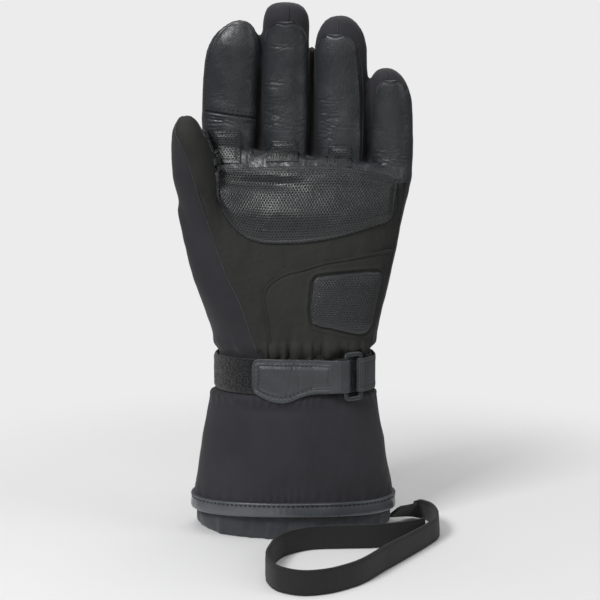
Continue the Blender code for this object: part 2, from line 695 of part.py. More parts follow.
def make_band(home):
    low = wrist_outline(CUFF_SIDES, BAND_LIFT)
    high = wrist_outline(CUFF_SIDES, BAND_LIFT + BAND_THICKNESS)
    rings = [
        at_height(low, BAND_Z),
        at_height(high, BAND_Z + 0.05 * BAND_HEIGHT),
        at_height(high, BAND_Z + 0.95 * BAND_HEIGHT),
        at_height(low, BAND_Z + BAND_HEIGHT),
    ]
    return loft(np.array(rings), "wrist_band", home, "pile", looped=True)


def wrist_points(across, out):
    """Places on the front of the wrist at distances right of its middle, and so far out of the cloth."""
    across = np.atleast_1d(across)
    out = np.broadcast_to(out, across.shape)
    outline = wrist_outline(FIELD_SIDES)
    low = outline[outline[:, 1] <= 0]
    low = low[np.argsort(low[:, 0])]
    slope = np.gradient(low[:, 1], low[:, 0])
    tilt = np.interp(across, low[:, 0], slope)
    normal = np.stack([tilt, -np.ones_like(tilt)], axis=1)
    normal /= np.linalg.norm(normal, axis=1)[:, None]
    front = np.stack([across, np.interp(across, low[:, 0], low[:, 1])], axis=1)
    return front + normal * out[:, None]


def standing_strip(route, bottoms, tops, thickness, name, home, finish):
    """A strip that stands on edge along a route in plan, with its own bottom and top at each place."""
    along = np.gradient(route, axis=0)
    normal = np.stack([along[:, 1], -along[:, 0]], axis=1)
    normal /= np.linalg.norm(normal, axis=1)[:, None]
    near, far = route - normal * thickness / 2, route + normal * thickness / 2
    rings = np.stack(
        [
            np.column_stack([near, bottoms]),
            np.column_stack([far, bottoms]),
            np.column_stack([far, tops]),
            np.column_stack([near, tops]),
        ],
        axis=1,
    )
    return loft(rings, name, home, finish)


def strap_levels():
    """How far out of the cloth the straps lie on the band, and the buckle's middle over them."""
    on_band = BAND_LIFT + BAND_THICKNESS + GAP + TAB_THICKNESS / 2
    return on_band, on_band + TAB_THICKNESS / 2 + 2 * GAP + BUCKLE_THICKNESS / 2


def buckle_frame():
    """The buckle's middle in plan, the direction along the wrist there, the outward one, and how far its
    two upright bars lie from the middle."""
    _, level = strap_levels()
    place = wrist_points(BUCKLE_PLACE, level)[0]
    ahead = wrist_points(BUCKLE_PLACE + 0.002, level)[0] - wrist_points(BUCKLE_PLACE - 0.002, level)[0]
    ahead /= np.linalg.norm(ahead)
    return place, ahead, np.array([ahead[1], -ahead[0]]), (BUCKLE_WIDTH - BUCKLE_BAR) / 2


def strap_round_bar(centre, ahead, outward):
    """A strap's middle line over, round and under an upright bar, on the side that ahead points to."""
    turn = np.linspace(0.5, -0.5, 7) * math.pi
    reach = 2 * GAP + TAB_THICKNESS / 2
    sideways = np.cos(turn)[:, None] * ahead * (BUCKLE_BAR / 2 + reach)
    bend = centre + sideways + np.sin(turn)[:, None] * outward * (BUCKLE_THICKNESS / 2 + reach)
    before = ahead * (BUCKLE_BAR / 2 + reach)
    return np.concatenate([bend[:1] - before, bend, bend[-1:] - before])


def make_pull_tab(home):
    """The strap's end: flat on the band, over the buckle's left bar, round it and back beneath."""
    on_band, level = strap_levels()
    over = 2 * level - on_band
    place, ahead, outward, half = buckle_frame()
    bar = place - ahead * half
    table = np.array(PULL_TAB)
    across = np.where(table[:, 0] > 0, -table[:, 0] * TAB_REACH, -table[:, 0] * BUCKLE_PLACE)
    keep = across < bar[0] - BUCKLE_BAR
    climb = np.clip((across[keep] / bar[0] - 0.30) / 0.55, 0, 1) ** 1.5
    front = wrist_points(across[keep], on_band + (over - on_band) * climb)
    back = wrist_points(bar[0] - np.array([0.6, 1.2, 2.0]) * BUCKLE_BAR, on_band)
    route = np.concatenate([front, strap_round_bar(bar, ahead, outward), back])
    last = len(front) - 1
    rows = np.minimum(np.arange(len(route)), last)
    return standing_strip(
        route,
        BAND_Z + table[rows, 1] * BAND_HEIGHT,
        BAND_Z + table[rows, 2] * BAND_HEIGHT,
        TAB_THICKNESS,
        "pull_tab",
        home,
        "smooth_leather",
    )


def make_buckle(home):
    """A flat ring with rounded corners, standing along the wrist."""
    place, ahead, _, wide = buckle_frame()
    turns = np.linspace(0, 2 * math.pi, 24, endpoint=False)
    c, s = np.cos(turns), np.sin(turns)
    tall = (BUCKLE_HEIGHT - BUCKLE_BAR) / 2
    path = np.stack([wide * np.sign(c) * np.abs(c) ** 0.35, tall * np.sign(s) * np.abs(s) ** 0.35], axis=1)
    along = np.roll(path, -1, axis=0) - np.roll(path, 1, axis=0)
    normal = np.stack([along[:, 1], -along[:, 0]], axis=1)
    normal /= np.linalg.norm(normal, axis=1)[:, None]
    section = ((1, 0.6), (0.6, 1), (-0.6, 1), (-1, 0.6), (-1, -0.6), (-0.6, -1), (0.6, -1), (1, -0.6))
    rings = []
    for spot, side in zip(path, normal):
        ring = [(*(spot + side * a * BUCKLE_BAR / 2), b * BUCKLE_THICKNESS / 2) for a, b in section]
        rings.append([(x, z, y) for x, y, z in ring])
    made = loft(np.array(rings), "buckle", home, "buckle_plastic", looped=True)
    made.location = (*place, BAND_Z + BAND_HEIGHT / 2)
    made.rotation_euler.z = math.atan2(ahead[1], ahead[0])
    return made


def make_anchor(home):
    """The woven tape from the side of the wrist, over the buckle's right bar, round it and back beneath."""
    on_band, level = strap_levels()
    over = 2 * level - on_band
    place, ahead, outward, half = buckle_frame()
    bar = place + ahead * half
    outline = wrist_outline(FIELD_SIDES)
    past_bar = bar + ahead * 1.3 * BUCKLE_BAR
    start = np.argmin(np.hypot(*(outline - past_bar).T))
    side = np.arange(start, FIELD_SIDES + 10, 4)
    lifts = on_band + (over + GAP - on_band) * np.clip(1 - np.arange(len(side)) / 5, 0, 1)
    over_side = np.array([pushed_out(outline, lift)[k % FIELD_SIDES] for k, lift in zip(side, lifts)])
    under_side = pushed_out(outline, on_band)[side[:1]]
    round_bar = strap_round_bar(bar, -ahead, outward)[::-1]
    route = np.concatenate([under_side, round_bar, over_side])
    slant = np.clip((np.arange(len(route)) - 6) / (len(route) - 7), 0, 1)
    return standing_strip(
        route,
        BAND_Z + BAND_HEIGHT * (0.05 - 0.04 * slant),
        BAND_Z + BAND_HEIGHT * (1.0 - 0.02 * slant),
        TAB_THICKNESS,
        "buckle_anchor",
        home,
        "webbing",
    )


def front_field(ring_sets):
    """The hand's front as depths y over a grid of x and z: the front-most of several lofts, with the creases
    between them filled softly. Each set is rings of points, bottom to top."""
    xs = np.arange(-HAND_WIDTH, HAND_WIDTH, FIELD_STEP)
    zs = np.arange(WRIST_Z, KNUCKLE_Z + MIDDLE_LENGTH + INDEX_LENGTH / 4, FIELD_STEP)
    far = PALM_DEPTH
    total = np.zeros((len(zs), len(xs)))
    soft = 0.0012
    for rings in ring_sets:
        rows_y = np.full((len(rings), len(xs)), far)
        rows_z = np.zeros((len(rings), len(xs)))
        for i, ring in enumerate(rings):
            middle = (ring[:, 1].max() + ring[:, 1].min()) / 2
            left, right = ring[:, 0].argmin(), ring[:, 0].argmax()
            steps = (right - left) % len(ring)
            half = ring[(left + np.arange(steps + 1)) % len(ring)]
            rows_y[i] = np.interp(xs, half[:, 0], half[:, 1], left=far, right=far)
            rows_z[i] = np.interp(xs, half[:, 0], half[:, 2])
            rows_y[i] = np.where(rows_y[i] == far, middle + 0.02, rows_y[i])
        for j in range(len(xs)):
            depth = np.interp(zs, rows_z[:, j], rows_y[:, j], left=far, right=far)
            total[:, j] += np.exp(-depth / soft)
    return xs, zs, -soft * np.log(total + 1e-300)


def read_field(field, x, z):
    """Depth of the front at places x and z, straight between the grid's points."""
    xs, zs, depth = field
    i = np.clip((x - xs[0]) / FIELD_STEP, 0, len(xs) - 2)
    j = np.clip((z - zs[0]) / FIELD_STEP, 0, len(zs) - 2)
    i0, j0 = i.astype(int), j.astype(int)
    a, b = i - i0, j - j0
    low = depth[j0, i0] * (1 - a) + depth[j0, i0 + 1] * a
    high = depth[j0 + 1, i0] * (1 - a) + depth[j0 + 1, i0 + 1] * a
    return low * (1 - b) + high * b


def on_front(field, x, z, lift):
    """Points over the front at places x and z, so far out along its normal."""
    reach = 0.0012
    y = read_field(field, x, z)
    slope_x = (read_field(field, x + reach, z) - read_field(field, x - reach, z)) / (2 * reach)
    slope_z = (read_field(field, x, z + reach) - read_field(field, x, z - reach)) / (2 * reach)
    normal = np.stack([slope_x, -np.ones_like(y), slope_z], axis=-1)
    normal /= np.linalg.norm(normal, axis=-1)[..., None]
    return np.stack([x, y, z], axis=-1) + normal * lift


def palm_place(across, height):
    half, middle, _, _ = palm_size(np.minimum(height, 1.0).ravel())
    shape = np.shape(height)
    return middle.reshape(shape) + across * half.reshape(shape), WRIST_Z + height * PALM_LENGTH


def finger_place(finger):
    def place(across, along):
        middle = finger_frame(finger, along.ravel())[0].reshape(along.shape)
        return middle + across * finger.width * HAND_WIDTH / 2, finger_base(finger) + along * finger.length

    return place


def turned_out(across):
    """Shares across as angles, from a straight line at the middle, going on evenly past the sides."""
    inside = np.clip(across, -0.95, 0.95)
    return np.arcsin(inside) + (across - inside)


def turned_in(angle):
    limit = math.asin(0.95)
    inside = np.clip(angle, -limit, limit)
    return np.sin(inside) + (angle - inside)


def panel(name, edges, place, field, home, finish, steps, lift=PANEL_LIFT, thickness=LEATHER):
    """A thin panel on the hand's front between two edges, as an open sheet made solid outwards: a line of
    points for each row or column of its table, with so many steps along it."""
    first, low, high = np.array(edges).T
    share = np.linspace(0, 1, steps + 1)
    along = np.repeat(first[:, None], steps + 1, axis=1)
    columns = isinstance(edges[0], EdgeColumn)
    if columns:
        x, z = place(along, low[:, None] * (1 - share) + high[:, None] * share)
    else:
        x, z = place(turned_in(turned_out(low)[:, None] * (1 - share) + turned_out(high)[:, None] * share), along)
    points = on_front(field, x, z, lift)
    mesh = bmesh.new()
    grid = [[mesh.verts.new(p) for p in row] for row in points]
    for i in range(len(grid) - 1):
        for j in range(steps):
            face = [grid[i][j], grid[i][j + 1], grid[i + 1][j + 1], grid[i + 1][j]]
            mesh.faces.new(face[::-1] if columns else face)
    made = placed(mesh, name, home, finish)
    solid = made.modifiers.new("thickness", "SOLIDIFY")
    solid.thickness = thickness
    solid.offset = 1.0
    return made


def make_panels(home):
    palm_stops = np.linspace(0.0, 1 - 1.1 * KNUCKLE_ROUND / PALM_LENGTH, 80)
    palm = palm_rings(FIELD_SIDES, palm_stops)
    thumb = thumb_rings(FIELD_SIDES, np.linspace(0.0, 0.99, 60))
    thenar = front_field([palm, thumb])
    over_leather = PANEL_LIFT + LEATHER + GAP
    panel("palm_patch", PALM_PATCH, palm_place, thenar, home, "grip_leather", 6, PANEL_LIFT, PADDED_LEATHER)
    panel("palm_leather", PALM_LEATHER, palm_place, thenar, home, "matte_leather", 4)
    panel("heel_panel", HEEL_PANEL, palm_place, thenar, home, "matte_leather", 7)
    panel("heel_patch", HEEL_PATCH, palm_place, thenar, home, "grip_leather", 5, over_leather)
    panel("thumb_leather", THUMB_LEATHER, palm_place, thenar, home, "matte_leather", 6)
    leathers = {
        "index": (("index_base_leather", INDEX_BASE_LEATHER), ("index_tip_leather", INDEX_TIP_LEATHER)),
        "middle": (("middle_leather", MIDDLE_LEATHER),),
        "ring": (("ring_leather", RING_LEATHER),),
        "little": (("little_leather", LITTLE_LEATHER),),
    }
    tabs = {"index": INDEX_TAB, "middle": MIDDLE_TAB, "ring": RING_TAB}
    fine_stops = np.linspace(-0.22, 0.6, 40)
    fine_tips = np.linspace(0.0, 0.995, 30)
    for finger in FINGERS:
        stops = fine_stops[fine_stops < 1 - finger.rounding]
        rings = finger_rings(finger, FIELD_SIDES, stops, fine_tips)
        field = front_field([palm, rings])
        for name, edges in leathers[finger.name]:
            panel(name, edges, finger_place(finger), field, home, "smooth_leather", 6)
        if finger.name in tabs:
            name = f"{finger.name}_tab"
            edges = tabs[finger.name]
            panel(name, edges, finger_place(finger), field, home, "grip_leather", 5, over_leather + GAP)


def curve_through(points, count):
    """Evenly spaced places on a smooth curve through the rows of points."""
    points = np.asarray(points, float)
    gaps = np.linalg.norm(np.diff(points[:, :2], axis=0), axis=1)
    at = np.concatenate([[0], np.cumsum(gaps)])
    fine = np.linspace(0, at[-1], count)
    return read_table(np.column_stack([at, points]), fine)


def leash_route():
    """The leash's places in plan, its lean and its rise."""
    cuff = cuff_ring(CUFF_DROP / 4)
    right = cuff[:, 0].max()
    front = cuff[:, 1].min()
    table = np.array(LEASH)
    x = right + table[:, 0] * LEASH_SPAN
    y = front - table[:, 1] * LEASH_REACH
    return curve_through(np.column_stack([x, y, np.radians(table[:, 2]), table[:, 3] * CUFF_DROP]), LEASH_STEPS)


def make_leash(home):
    """Webbing on edge on the floor: a tail from the cuff, leaning at first, and a loop sewn back to it."""
    route = leash_route()
    plan, lean, rise = route[:, :2], np.maximum(route[:, 2], 0), np.maximum(route[:, 3], 0)
    along = np.gradient(plan, axis=0)
    along /= np.linalg.norm(along, axis=1)[:, None]
    side = np.stack([along[:, 1], -along[:, 0]], axis=1)
    up = np.column_stack([side * np.sin(lean)[:, None], np.cos(lean)]) * LEASH_HEIGHT
    thick = np.column_stack([side * np.cos(lean)[:, None], -np.sin(lean)]) * LEASH_THICKNESS
    foot = np.column_stack([plan, rise + np.sin(lean) * LEASH_THICKNESS / 2])
    rings = np.stack([foot - thick / 2, foot + thick / 2, foot + thick / 2 + up, foot - thick / 2 + up], axis=1)
    return loft(rings, "leash", home, "webbing")


def set_on_origin(home):
    """Parents all pieces to one empty that brings the middle of the whole glove's foot to the origin."""
    bpy.context.view_layer.update()
    graph = bpy.context.evaluated_depsgraph_get()
    corners = []
    for thing in home.objects:
        seen = thing.evaluated_get(graph)
        corners += [seen.matrix_world @ Vector(corner) for corner in seen.bound_box]
    corners = np.array(corners)
    low, high = corners.min(axis=0), corners.max(axis=0)
    frame = bpy.data.objects.new("glove_frame", None)
    things = list(home.objects)
    home.objects.link(frame)
    for thing in things + list(bpy.data.collections["cutters"].objects):
        thing.parent = frame
    frame.location = (-(low[0] + high[0]) / 2, -(low[1] + high[1]) / 2, -low[2])
    bpy.context.view_layer.update()
    print("glove frame moved by", [round(v, 6) for v in frame.location], "from", low.round(4), high.round(4))


def main():
    clear_scene()
    home = collection("heated_glove")
    cutters = collection("cutters")
    make_hand(home, cutters)
    make_gauntlet(home)
    make_hem(home)
    make_inner_cuff(home)
    make_band(home)
    make_pull_tab(home)
    make_buckle(home)
    make_anchor(home)
    make_panels(home)
    make_leash(home)
    set_on_origin(home)


main()
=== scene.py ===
# %% [markdown]
# # A padded winter glove, dressed
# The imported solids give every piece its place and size. This lesson makes the surface that is seen:
# cloth, leather, seams, stitches, webbing and a buckle. Each shape is worked out on a grid with numpy,
# from the same section tables as the solids, and each finish is a small node network with its own
# grain.

# %% The frame
import math
from collections import namedtuple

import bpy
import numpy as np
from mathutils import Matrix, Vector


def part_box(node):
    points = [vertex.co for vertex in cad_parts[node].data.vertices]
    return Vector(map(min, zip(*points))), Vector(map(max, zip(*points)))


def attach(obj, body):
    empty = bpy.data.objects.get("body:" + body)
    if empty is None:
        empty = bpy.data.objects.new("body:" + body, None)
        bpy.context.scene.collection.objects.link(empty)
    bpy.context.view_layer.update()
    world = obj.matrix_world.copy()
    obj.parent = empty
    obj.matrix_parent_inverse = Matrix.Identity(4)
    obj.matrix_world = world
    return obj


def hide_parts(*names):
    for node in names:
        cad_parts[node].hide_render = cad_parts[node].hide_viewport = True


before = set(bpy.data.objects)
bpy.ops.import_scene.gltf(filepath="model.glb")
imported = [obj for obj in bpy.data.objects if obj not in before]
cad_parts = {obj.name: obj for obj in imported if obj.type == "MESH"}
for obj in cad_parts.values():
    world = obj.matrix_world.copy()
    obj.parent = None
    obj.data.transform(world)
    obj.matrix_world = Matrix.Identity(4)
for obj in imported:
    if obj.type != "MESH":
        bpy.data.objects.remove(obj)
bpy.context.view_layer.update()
PLACE = np.array((-0.008498, 0.050146, 0.0))

# %% [markdown]
# ## The sizes and tables of the hand
# A padded glove is a set of soft tubes round the fingers and the palm. A table of sections with a
# smooth curve through its rows describes each tube, and the tables are those of the solids, so both
# have one shape.

# %% Sizes and section tables
HAND_WIDTH, WRIST_WIDTH, HAND_SHIFT = 0.1278, 0.0926, 0.0089
PALM_LENGTH, PALM_DEPTH = 0.133, 0.066
KNUCKLE_ROUND, KNUCKLE_FALL = 0.0045, 0.0075
FINGER_DEPTH, FINGER_CURL = 0.029, 0.014
THUMB_LENGTH, THUMB_WIDTH, THUMB_DEPTH = 0.0744, 0.0272, 0.028
THUMB_FORWARD, THUMB_ROOT = 0.0323, 0.084
HEM_WIDTH, HEM_DEPTH, HEM_Z, WRIST_Z = 0.1250, 0.0690, 0.0135, 0.0960
BAND_HEIGHT = 0.0207
BAND_Z = WRIST_Z - 0.37 * BAND_HEIGHT
FLARE_Z = BAND_Z - 0.0003
FLARE_HEIGHT = FLARE_Z - HEM_Z
KNUCKLE_Z = WRIST_Z + PALM_LENGTH
# half the wrist's depth, and how square the sections are
WRIST_DEEP = 0.47 * PALM_DEPTH
PALM_POWER, FINGER_POWER = 2.3, 2.15
MM = 0.001

# height, spread from wrist to hand, shift, front, back
PALM = np.array([
    (0.00, 0.000, 0.00, 0.470, 0.470), (0.06, 0.000, 0.02, 0.470, 0.470), (0.12, 0.010, 0.03, 0.472, 0.472),
    (0.15, 0.150, 0.07, 0.496, 0.492), (0.20, 0.225, 0.14, 0.502, 0.490), (0.30, 0.335, 0.27, 0.500, 0.475),
    (0.42, 0.475, 0.43, 0.492, 0.455), (0.55, 0.620, 0.58, 0.475, 0.430), (0.68, 0.745, 0.72, 0.450, 0.400),
    (0.80, 0.860, 0.85, 0.415, 0.365), (0.90, 0.940, 0.93, 0.365, 0.325), (1.00, 1.000, 1.00, 0.300, 0.270),
])
# height, reach, angle, width of the ball of the thumb
SWELL = np.array([
    (0.00, 0.00, 32.0, 28.0), (0.16, 0.00, 31.0, 27.0), (0.23, 0.11, 28.0, 26.0), (0.30, 0.26, 26.0, 25.0),
    (0.42, 0.46, 23.0, 22.0), (0.55, 0.63, 21.0, 19.0), (0.68, 0.77, 19.5, 15.5), (0.80, 0.86, 19.0, 12.5),
    (0.86, 0.70, 19.5, 11.0), (0.92, 0.26, 20.0, 9.5), (1.00, 0.00, 20.0, 9.0),
])
# height, out, forward, width, depth of the thumb
THUMB = np.array([
    (0.000, -0.200, 0.53, 0.86, 0.84), (0.180, -0.070, 0.61, 0.90, 0.91),
    (0.336, 0.022, 0.68, 0.925, 0.965),
    (0.484, 0.078, 0.775, 0.96, 1.00), (0.645, 0.138, 0.85, 0.90, 0.985), (0.798, 0.218, 0.93, 0.74, 0.89),
    (0.900, 0.247, 0.975, 0.574, 0.68), (0.961, 0.246, 0.99, 0.368, 0.45),
    (0.992, 0.236, 1.00, 0.150, 0.18),
])
Finger = namedtuple("Finger", "name length middle width lean rounding blunt")
FINGERS = (
    Finger("index", 0.0755, -0.7355, 0.2630, 0.215, 0.29, 2.0),
    Finger("middle", 0.0894, -0.2105, 0.2320, 0.020, 0.18, 3.0),
    Finger("ring", 0.0857, 0.3100, 0.2560, -0.030, 0.28, 2.3),
    Finger("little", 0.0589, 0.7830, 0.2120, -0.160, 0.38, 2.3),
)
# along a finger: width and depth before the tip rounds off
TAPER = np.array([
    (-0.22, 0.86, 0.84), (0.00, 0.965, 0.96), (0.12, 1.00, 1.00), (0.45, 1.00, 0.99), (0.70, 0.97, 0.95),
    (1.00, 0.93, 0.88),
])
FLARE = np.array([(0.0, 0.0), (0.03, 0.25), (0.08, 0.31), (0.24, 0.45), (0.44, 0.64), (0.65, 0.795),
                  (0.84, 0.93), (1.0, 1.0)])


def read_table(rows, at):
    """Cubic Hermite pieces through the table's rows, with slopes from the neighbouring rows."""
    place, value = rows[:, 0], rows[:, 1:]
    slope = np.gradient(value, place, axis=0)
    at = np.clip(np.asarray(at, float), place[0], place[-1])
    k = np.clip(np.searchsorted(place, at, side="right") - 1, 0, len(place) - 2)
    step = (place[k + 1] - place[k])[..., None]
    t = (at - place[k])[..., None] / step
    start = (1 + 2 * t) * (1 - t) ** 2 * value[k] + t * (1 - t) ** 2 * step * slope[k]
    return start + t * t * (3 - 2 * t) * value[k + 1] - t * t * (1 - t) * step * slope[k + 1]


def ease(x, low, high):
    """0 below low and 1 above high, by the smooth step 3t^2 - 2t^3."""
    t = np.clip((x - low) / (high - low), 0, 1)
    return t * t * (3 - 2 * t)


def bump_at(x, middle, width):
    """A bell exp(-((x - middle) / width)^2)."""
    return np.exp(-(((x - middle) / width) ** 2))


def ripple(points, size, seed, waves=12):
    """A smooth random field from -1 to 1: sines along random directions, of wavelengths near size."""
    rng = np.random.default_rng(seed)
    total = np.zeros(points.shape[:-1])
    for _ in range(waves):
        way = rng.normal(size=3)
        way *= 2 * math.pi / (size * rng.uniform(0.6, 1.6) * np.linalg.norm(way))
        total += np.sin(points @ way + rng.uniform(0, 2 * math.pi))
    return np.clip(total / math.sqrt(waves) / 1.6, -1, 1)


print("palm rows:", len(PALM), "fingers:", [f.name for f in FINGERS])

# %% [markdown]
# ## The form of the hand
# Every section is a superellipse, which is rounder than a box and squarer than an oval. The palm's
# radius grows where the ball of the thumb is, and it is gathered into small pleats just over the strap,
# as sewn elastic does.

# %% Sections of the palm, thumb and fingers
def superellipse(turn, half, front, back, power):
    """Radius at an angle: (|cos t / half|^p + |sin t / depth|^p)^(-1/p); front and back differ."""
    c, s = np.abs(np.cos(turn)), np.sin(turn)
    depth = np.where(s > 0, back, front)
    return ((c / half) ** power + (np.abs(s) / depth) ** power) ** (-1 / power)


def palm_radius(turn, height):
    """The palm's radius at an angle and a share of its height, and its middle across."""
    row = read_table(PALM, height)
    half = WRIST_WIDTH / 2 + row[..., 0] * (HAND_WIDTH - WRIST_WIDTH) / 2
    radius = superellipse(turn, half, row[..., 2] * PALM_DEPTH, row[..., 3] * PALM_DEPTH, PALM_POWER)
    reach, angle, width = np.moveaxis(read_table(SWELL, height), -1, 0)
    bearing = np.degrees(np.arctan2(-np.sin(turn), -np.cos(turn)))
    radius += reach * THUMB_DEPTH * np.exp(-(((bearing - angle) / width) ** 2))
    pleat = 0.55 * np.cos(13 * turn) + 0.45 * np.cos(21 * turn + 1.1) + 0.35 * np.cos(34 * turn + 2.0)
    radius += 1.35 * MM * pleat * (bump_at(height, 0.140, 0.030) + 0.25 * bump_at(height, 0.20, 0.05))
    radius += 0.9 * MM * bump_at(height, 0.150, 0.022)
    return radius, row[..., 1] * HAND_SHIFT


def palm_point(turn, height, inset=0.0):
    """A point of the palm's section, whose rows fall towards the little finger near the knuckles."""
    radius, middle = palm_radius(turn, height)
    x, y = (radius - inset) * np.cos(turn), (radius - inset) * np.sin(turn)
    fall = np.clip((height - 0.7) / 0.3, 0, 1) ** 2 * KNUCKLE_FALL * x / (HAND_WIDTH / 2)
    return np.stack([x + middle, y, WRIST_Z + height * PALM_LENGTH - fall], axis=-1)


def finger_frame(finger, along):
    """Middle across and forward, and half width and depth, at shares of the finger's length."""
    width, depth = np.moveaxis(read_table(TAPER, along), -1, 0)
    past = np.clip((along - 1 + finger.rounding) / finger.rounding, 0, 1)
    shrink = (1 - past**finger.blunt) ** (1 / finger.blunt)
    full = finger.width * HAND_WIDTH
    inside = np.clip(along, 0, 1)
    middle = HAND_SHIFT + finger.middle * HAND_WIDTH / 2 + finger.lean * full * inside**3.5
    forward = -FINGER_CURL * inside**2 - 0.001
    return middle, forward, width * shrink * full / 2, depth * shrink * FINGER_DEPTH / 2


def finger_base(finger):
    return KNUCKLE_Z - KNUCKLE_FALL * finger.middle


def thumb_frame(along):
    out, forward, width, depth = np.moveaxis(read_table(THUMB, along), -1, 0)
    middle = HAND_SHIFT - HAND_WIDTH / 2 - out * THUMB_WIDTH
    return middle, -forward * THUMB_FORWARD, width * THUMB_WIDTH / 2, depth * THUMB_DEPTH / 2


def round_section(turn, frame_at):
    """Points round a finger's or thumb's section: its middle plus the superellipse there."""
    middle, forward, half, deep = frame_at
    radius = superellipse(turn, half, deep, deep, FINGER_POWER)
    return middle + radius * np.cos(turn), forward + radius * np.sin(turn)


# %% [markdown]
# ## The front as a height field
# The leather panels lie on the front. Where is the front at a place x, z? Each tube answers with its
# own depth there, and a soft minimum of the answers, -k log(sum exp(-y / k)), joins them with small
# fillets, as padding does.

# %% The front of the hand
# depth where a tube has no front
FAR = 0.09


def tube_front(x, z, low, high, frame_of, base, length):
    """Depth of a tube's front: its middle less its depth times (1 - |dx / half|^p)^(1/p)."""
    along = (z - base) / length
    middle, forward, half, deep = frame_of(np.clip(along, low, high))
    share = np.abs(x - middle) / np.maximum(half, 1e-6)
    front = forward - deep * np.clip(1 - share**FINGER_POWER, 0, 1) ** (1 / FINGER_POWER)
    return np.where((share < 1.1) & (along > low) & (along < high), front, FAR)


def palm_front(x, z):
    """Depth of the palm's front, found by halving the range of angles until the section meets x."""
    height = (z - WRIST_Z) / PALM_LENGTH
    for _ in range(5):
        fall = np.clip((height - 0.7) / 0.3, 0, 1) ** 2 * KNUCKLE_FALL * (x - HAND_SHIFT) / (HAND_WIDTH / 2)
        height = (z - WRIST_Z + fall) / PALM_LENGTH
    over = np.clip((height - 1) * PALM_LENGTH / KNUCKLE_ROUND + 1, 0, 1)
    inset = KNUCKLE_ROUND * (1 - np.sqrt(1 - over**2))
    inside = np.clip(height, 0, 1)
    low, high = np.full(x.shape, math.pi), np.full(x.shape, 2 * math.pi)
    for _ in range(26):
        turn = (low + high) / 2
        radius, middle = palm_radius(turn, inside)
        left = (radius - inset) * np.cos(turn) + middle < x
        low, high = np.where(left, turn, low), np.where(left, high, turn)
    radius, middle = palm_radius(turn, inside)
    met = np.abs((radius - inset) * np.cos(turn) + middle - x) < 1e-4
    return np.where(met & (height < 1.0), (radius - inset) * np.sin(turn), FAR)


def hand_front(x, z, soft=1.5 * MM):
    """The soft minimum of the depths of the palm, the thumb and the four fingers."""
    fronts = [palm_front(x, z), tube_front(x, z, 0.0, 0.995, thumb_frame, WRIST_Z + THUMB_ROOT, THUMB_LENGTH)]
    for finger in FINGERS:
        frame_of = lambda along, f=finger: finger_frame(f, along)
        fronts.append(tube_front(x, z, -0.22, 0.999, frame_of, finger_base(finger), finger.length))
    return np.minimum(-soft * np.log(sum(np.exp(-front / soft) for front in fronts)), 0.0)


test = hand_front(np.array([0.0, -0.06]), np.array([0.18, 0.24]))
print("front of the palm and of the thumb, mm:", (test / MM).round(1))

def front_normals(x, z, step=0.5 * MM):
    """Unit normals of the front, (dy/dx, -1, dy/dz) by small steps."""
    slope_x = (hand_front(x + step, z) - hand_front(x - step, z)) / (2 * step)
    slope_z = (hand_front(x, z + step) - hand_front(x, z - step)) / (2 * step)
    normal = np.stack([np.clip(slope_x, -4, 4), -np.ones_like(x), np.clip(slope_z, -4, 4)], axis=-1)
    return normal / np.linalg.norm(normal, axis=-1, keepdims=True)


# %% [markdown]
# ## Meshes from grids
# A grid of points becomes quads between neighbours. Rows or columns may close on themselves, and the
# map for the material's pattern is kept for each corner, so that it doesn't jump where a tube closes.

# %% Grid meshes
def piece_from(name, points, faces, uv=None, marks=None):
    """A mesh object from arrays: points, faces of one corner count or several, corner map and point marks."""
    mesh = bpy.data.meshes.new(name)
    mesh.vertices.add(len(points))
    mesh.vertices.foreach_set("co", (points + PLACE).astype(np.float32).ravel())
    corners = np.concatenate([block.ravel() for block in faces])
    sizes = np.concatenate([np.full(len(block), block.shape[1]) for block in faces])
    mesh.loops.add(len(corners))
    mesh.loops.foreach_set("vertex_index", corners.astype(np.int32))
    mesh.polygons.add(len(sizes))
    mesh.polygons.foreach_set("loop_start", np.concatenate([[0], np.cumsum(sizes)[:-1]]).astype(np.int32))
    mesh.update(calc_edges=True)
    if uv is not None:
        layer = mesh.uv_layers.new(name="UVMap")
        layer.data.foreach_set("uv", uv.astype(np.float32).ravel())
    for key, values in (marks or {}).items():
        mark = mesh.attributes.new(key, "FLOAT", "POINT")
        mark.data.foreach_set("value", values.astype(np.float32).ravel())
    mesh.shade_smooth()
    made = bpy.data.objects.new(name, mesh)
    bpy.context.scene.collection.objects.link(made)
    return made


def grid_piece(name, points, uv=None, wrap=False, loop=False, caps=False, marks=None):
    """A piece from a grid of points, with rows upwards and columns to the right seen from outside."""
    rows, columns = points.shape[:2]
    i, j = np.meshgrid(np.arange(rows - 1 + loop), np.arange(columns - 1 + wrap), indexing="ij")
    di, dj = np.array([0, 0, 1, 1]), np.array([0, 1, 1, 0])
    ci, cj = i[..., None] + di, j[..., None] + dj
    faces = [((ci % rows) * columns + cj % columns).reshape(-1, 4)]
    if uv is None:
        wide = np.linalg.norm(np.diff(points, axis=1, append=points[:, :1]), axis=-1)
        tall = np.linalg.norm(np.diff(points, axis=0, append=points[:1]), axis=-1)
        u = np.pad(np.cumsum(wide, axis=1), ((0, 0), (1, 0)))
        v = np.pad(np.cumsum(tall, axis=0), ((1, 0), (0, 0)))
        u = np.concatenate([u, u[:1]])
        v = np.concatenate([v, v[:, :1]], axis=1)
        uv = np.stack([u, v], axis=-1)
    corner_uv = uv[np.minimum(ci, uv.shape[0] - 1), np.minimum(cj, uv.shape[1] - 1)].reshape(-1, 2)
    if caps:
        ends = [np.arange(columns)[::-1], (rows - 1) * columns + np.arange(columns)]
        faces += [end[None] for end in ends]
        corner_uv = np.concatenate([corner_uv, np.zeros((2 * columns, 2))])
    return piece_from(name, points.reshape(-1, 3), faces, corner_uv, marks)


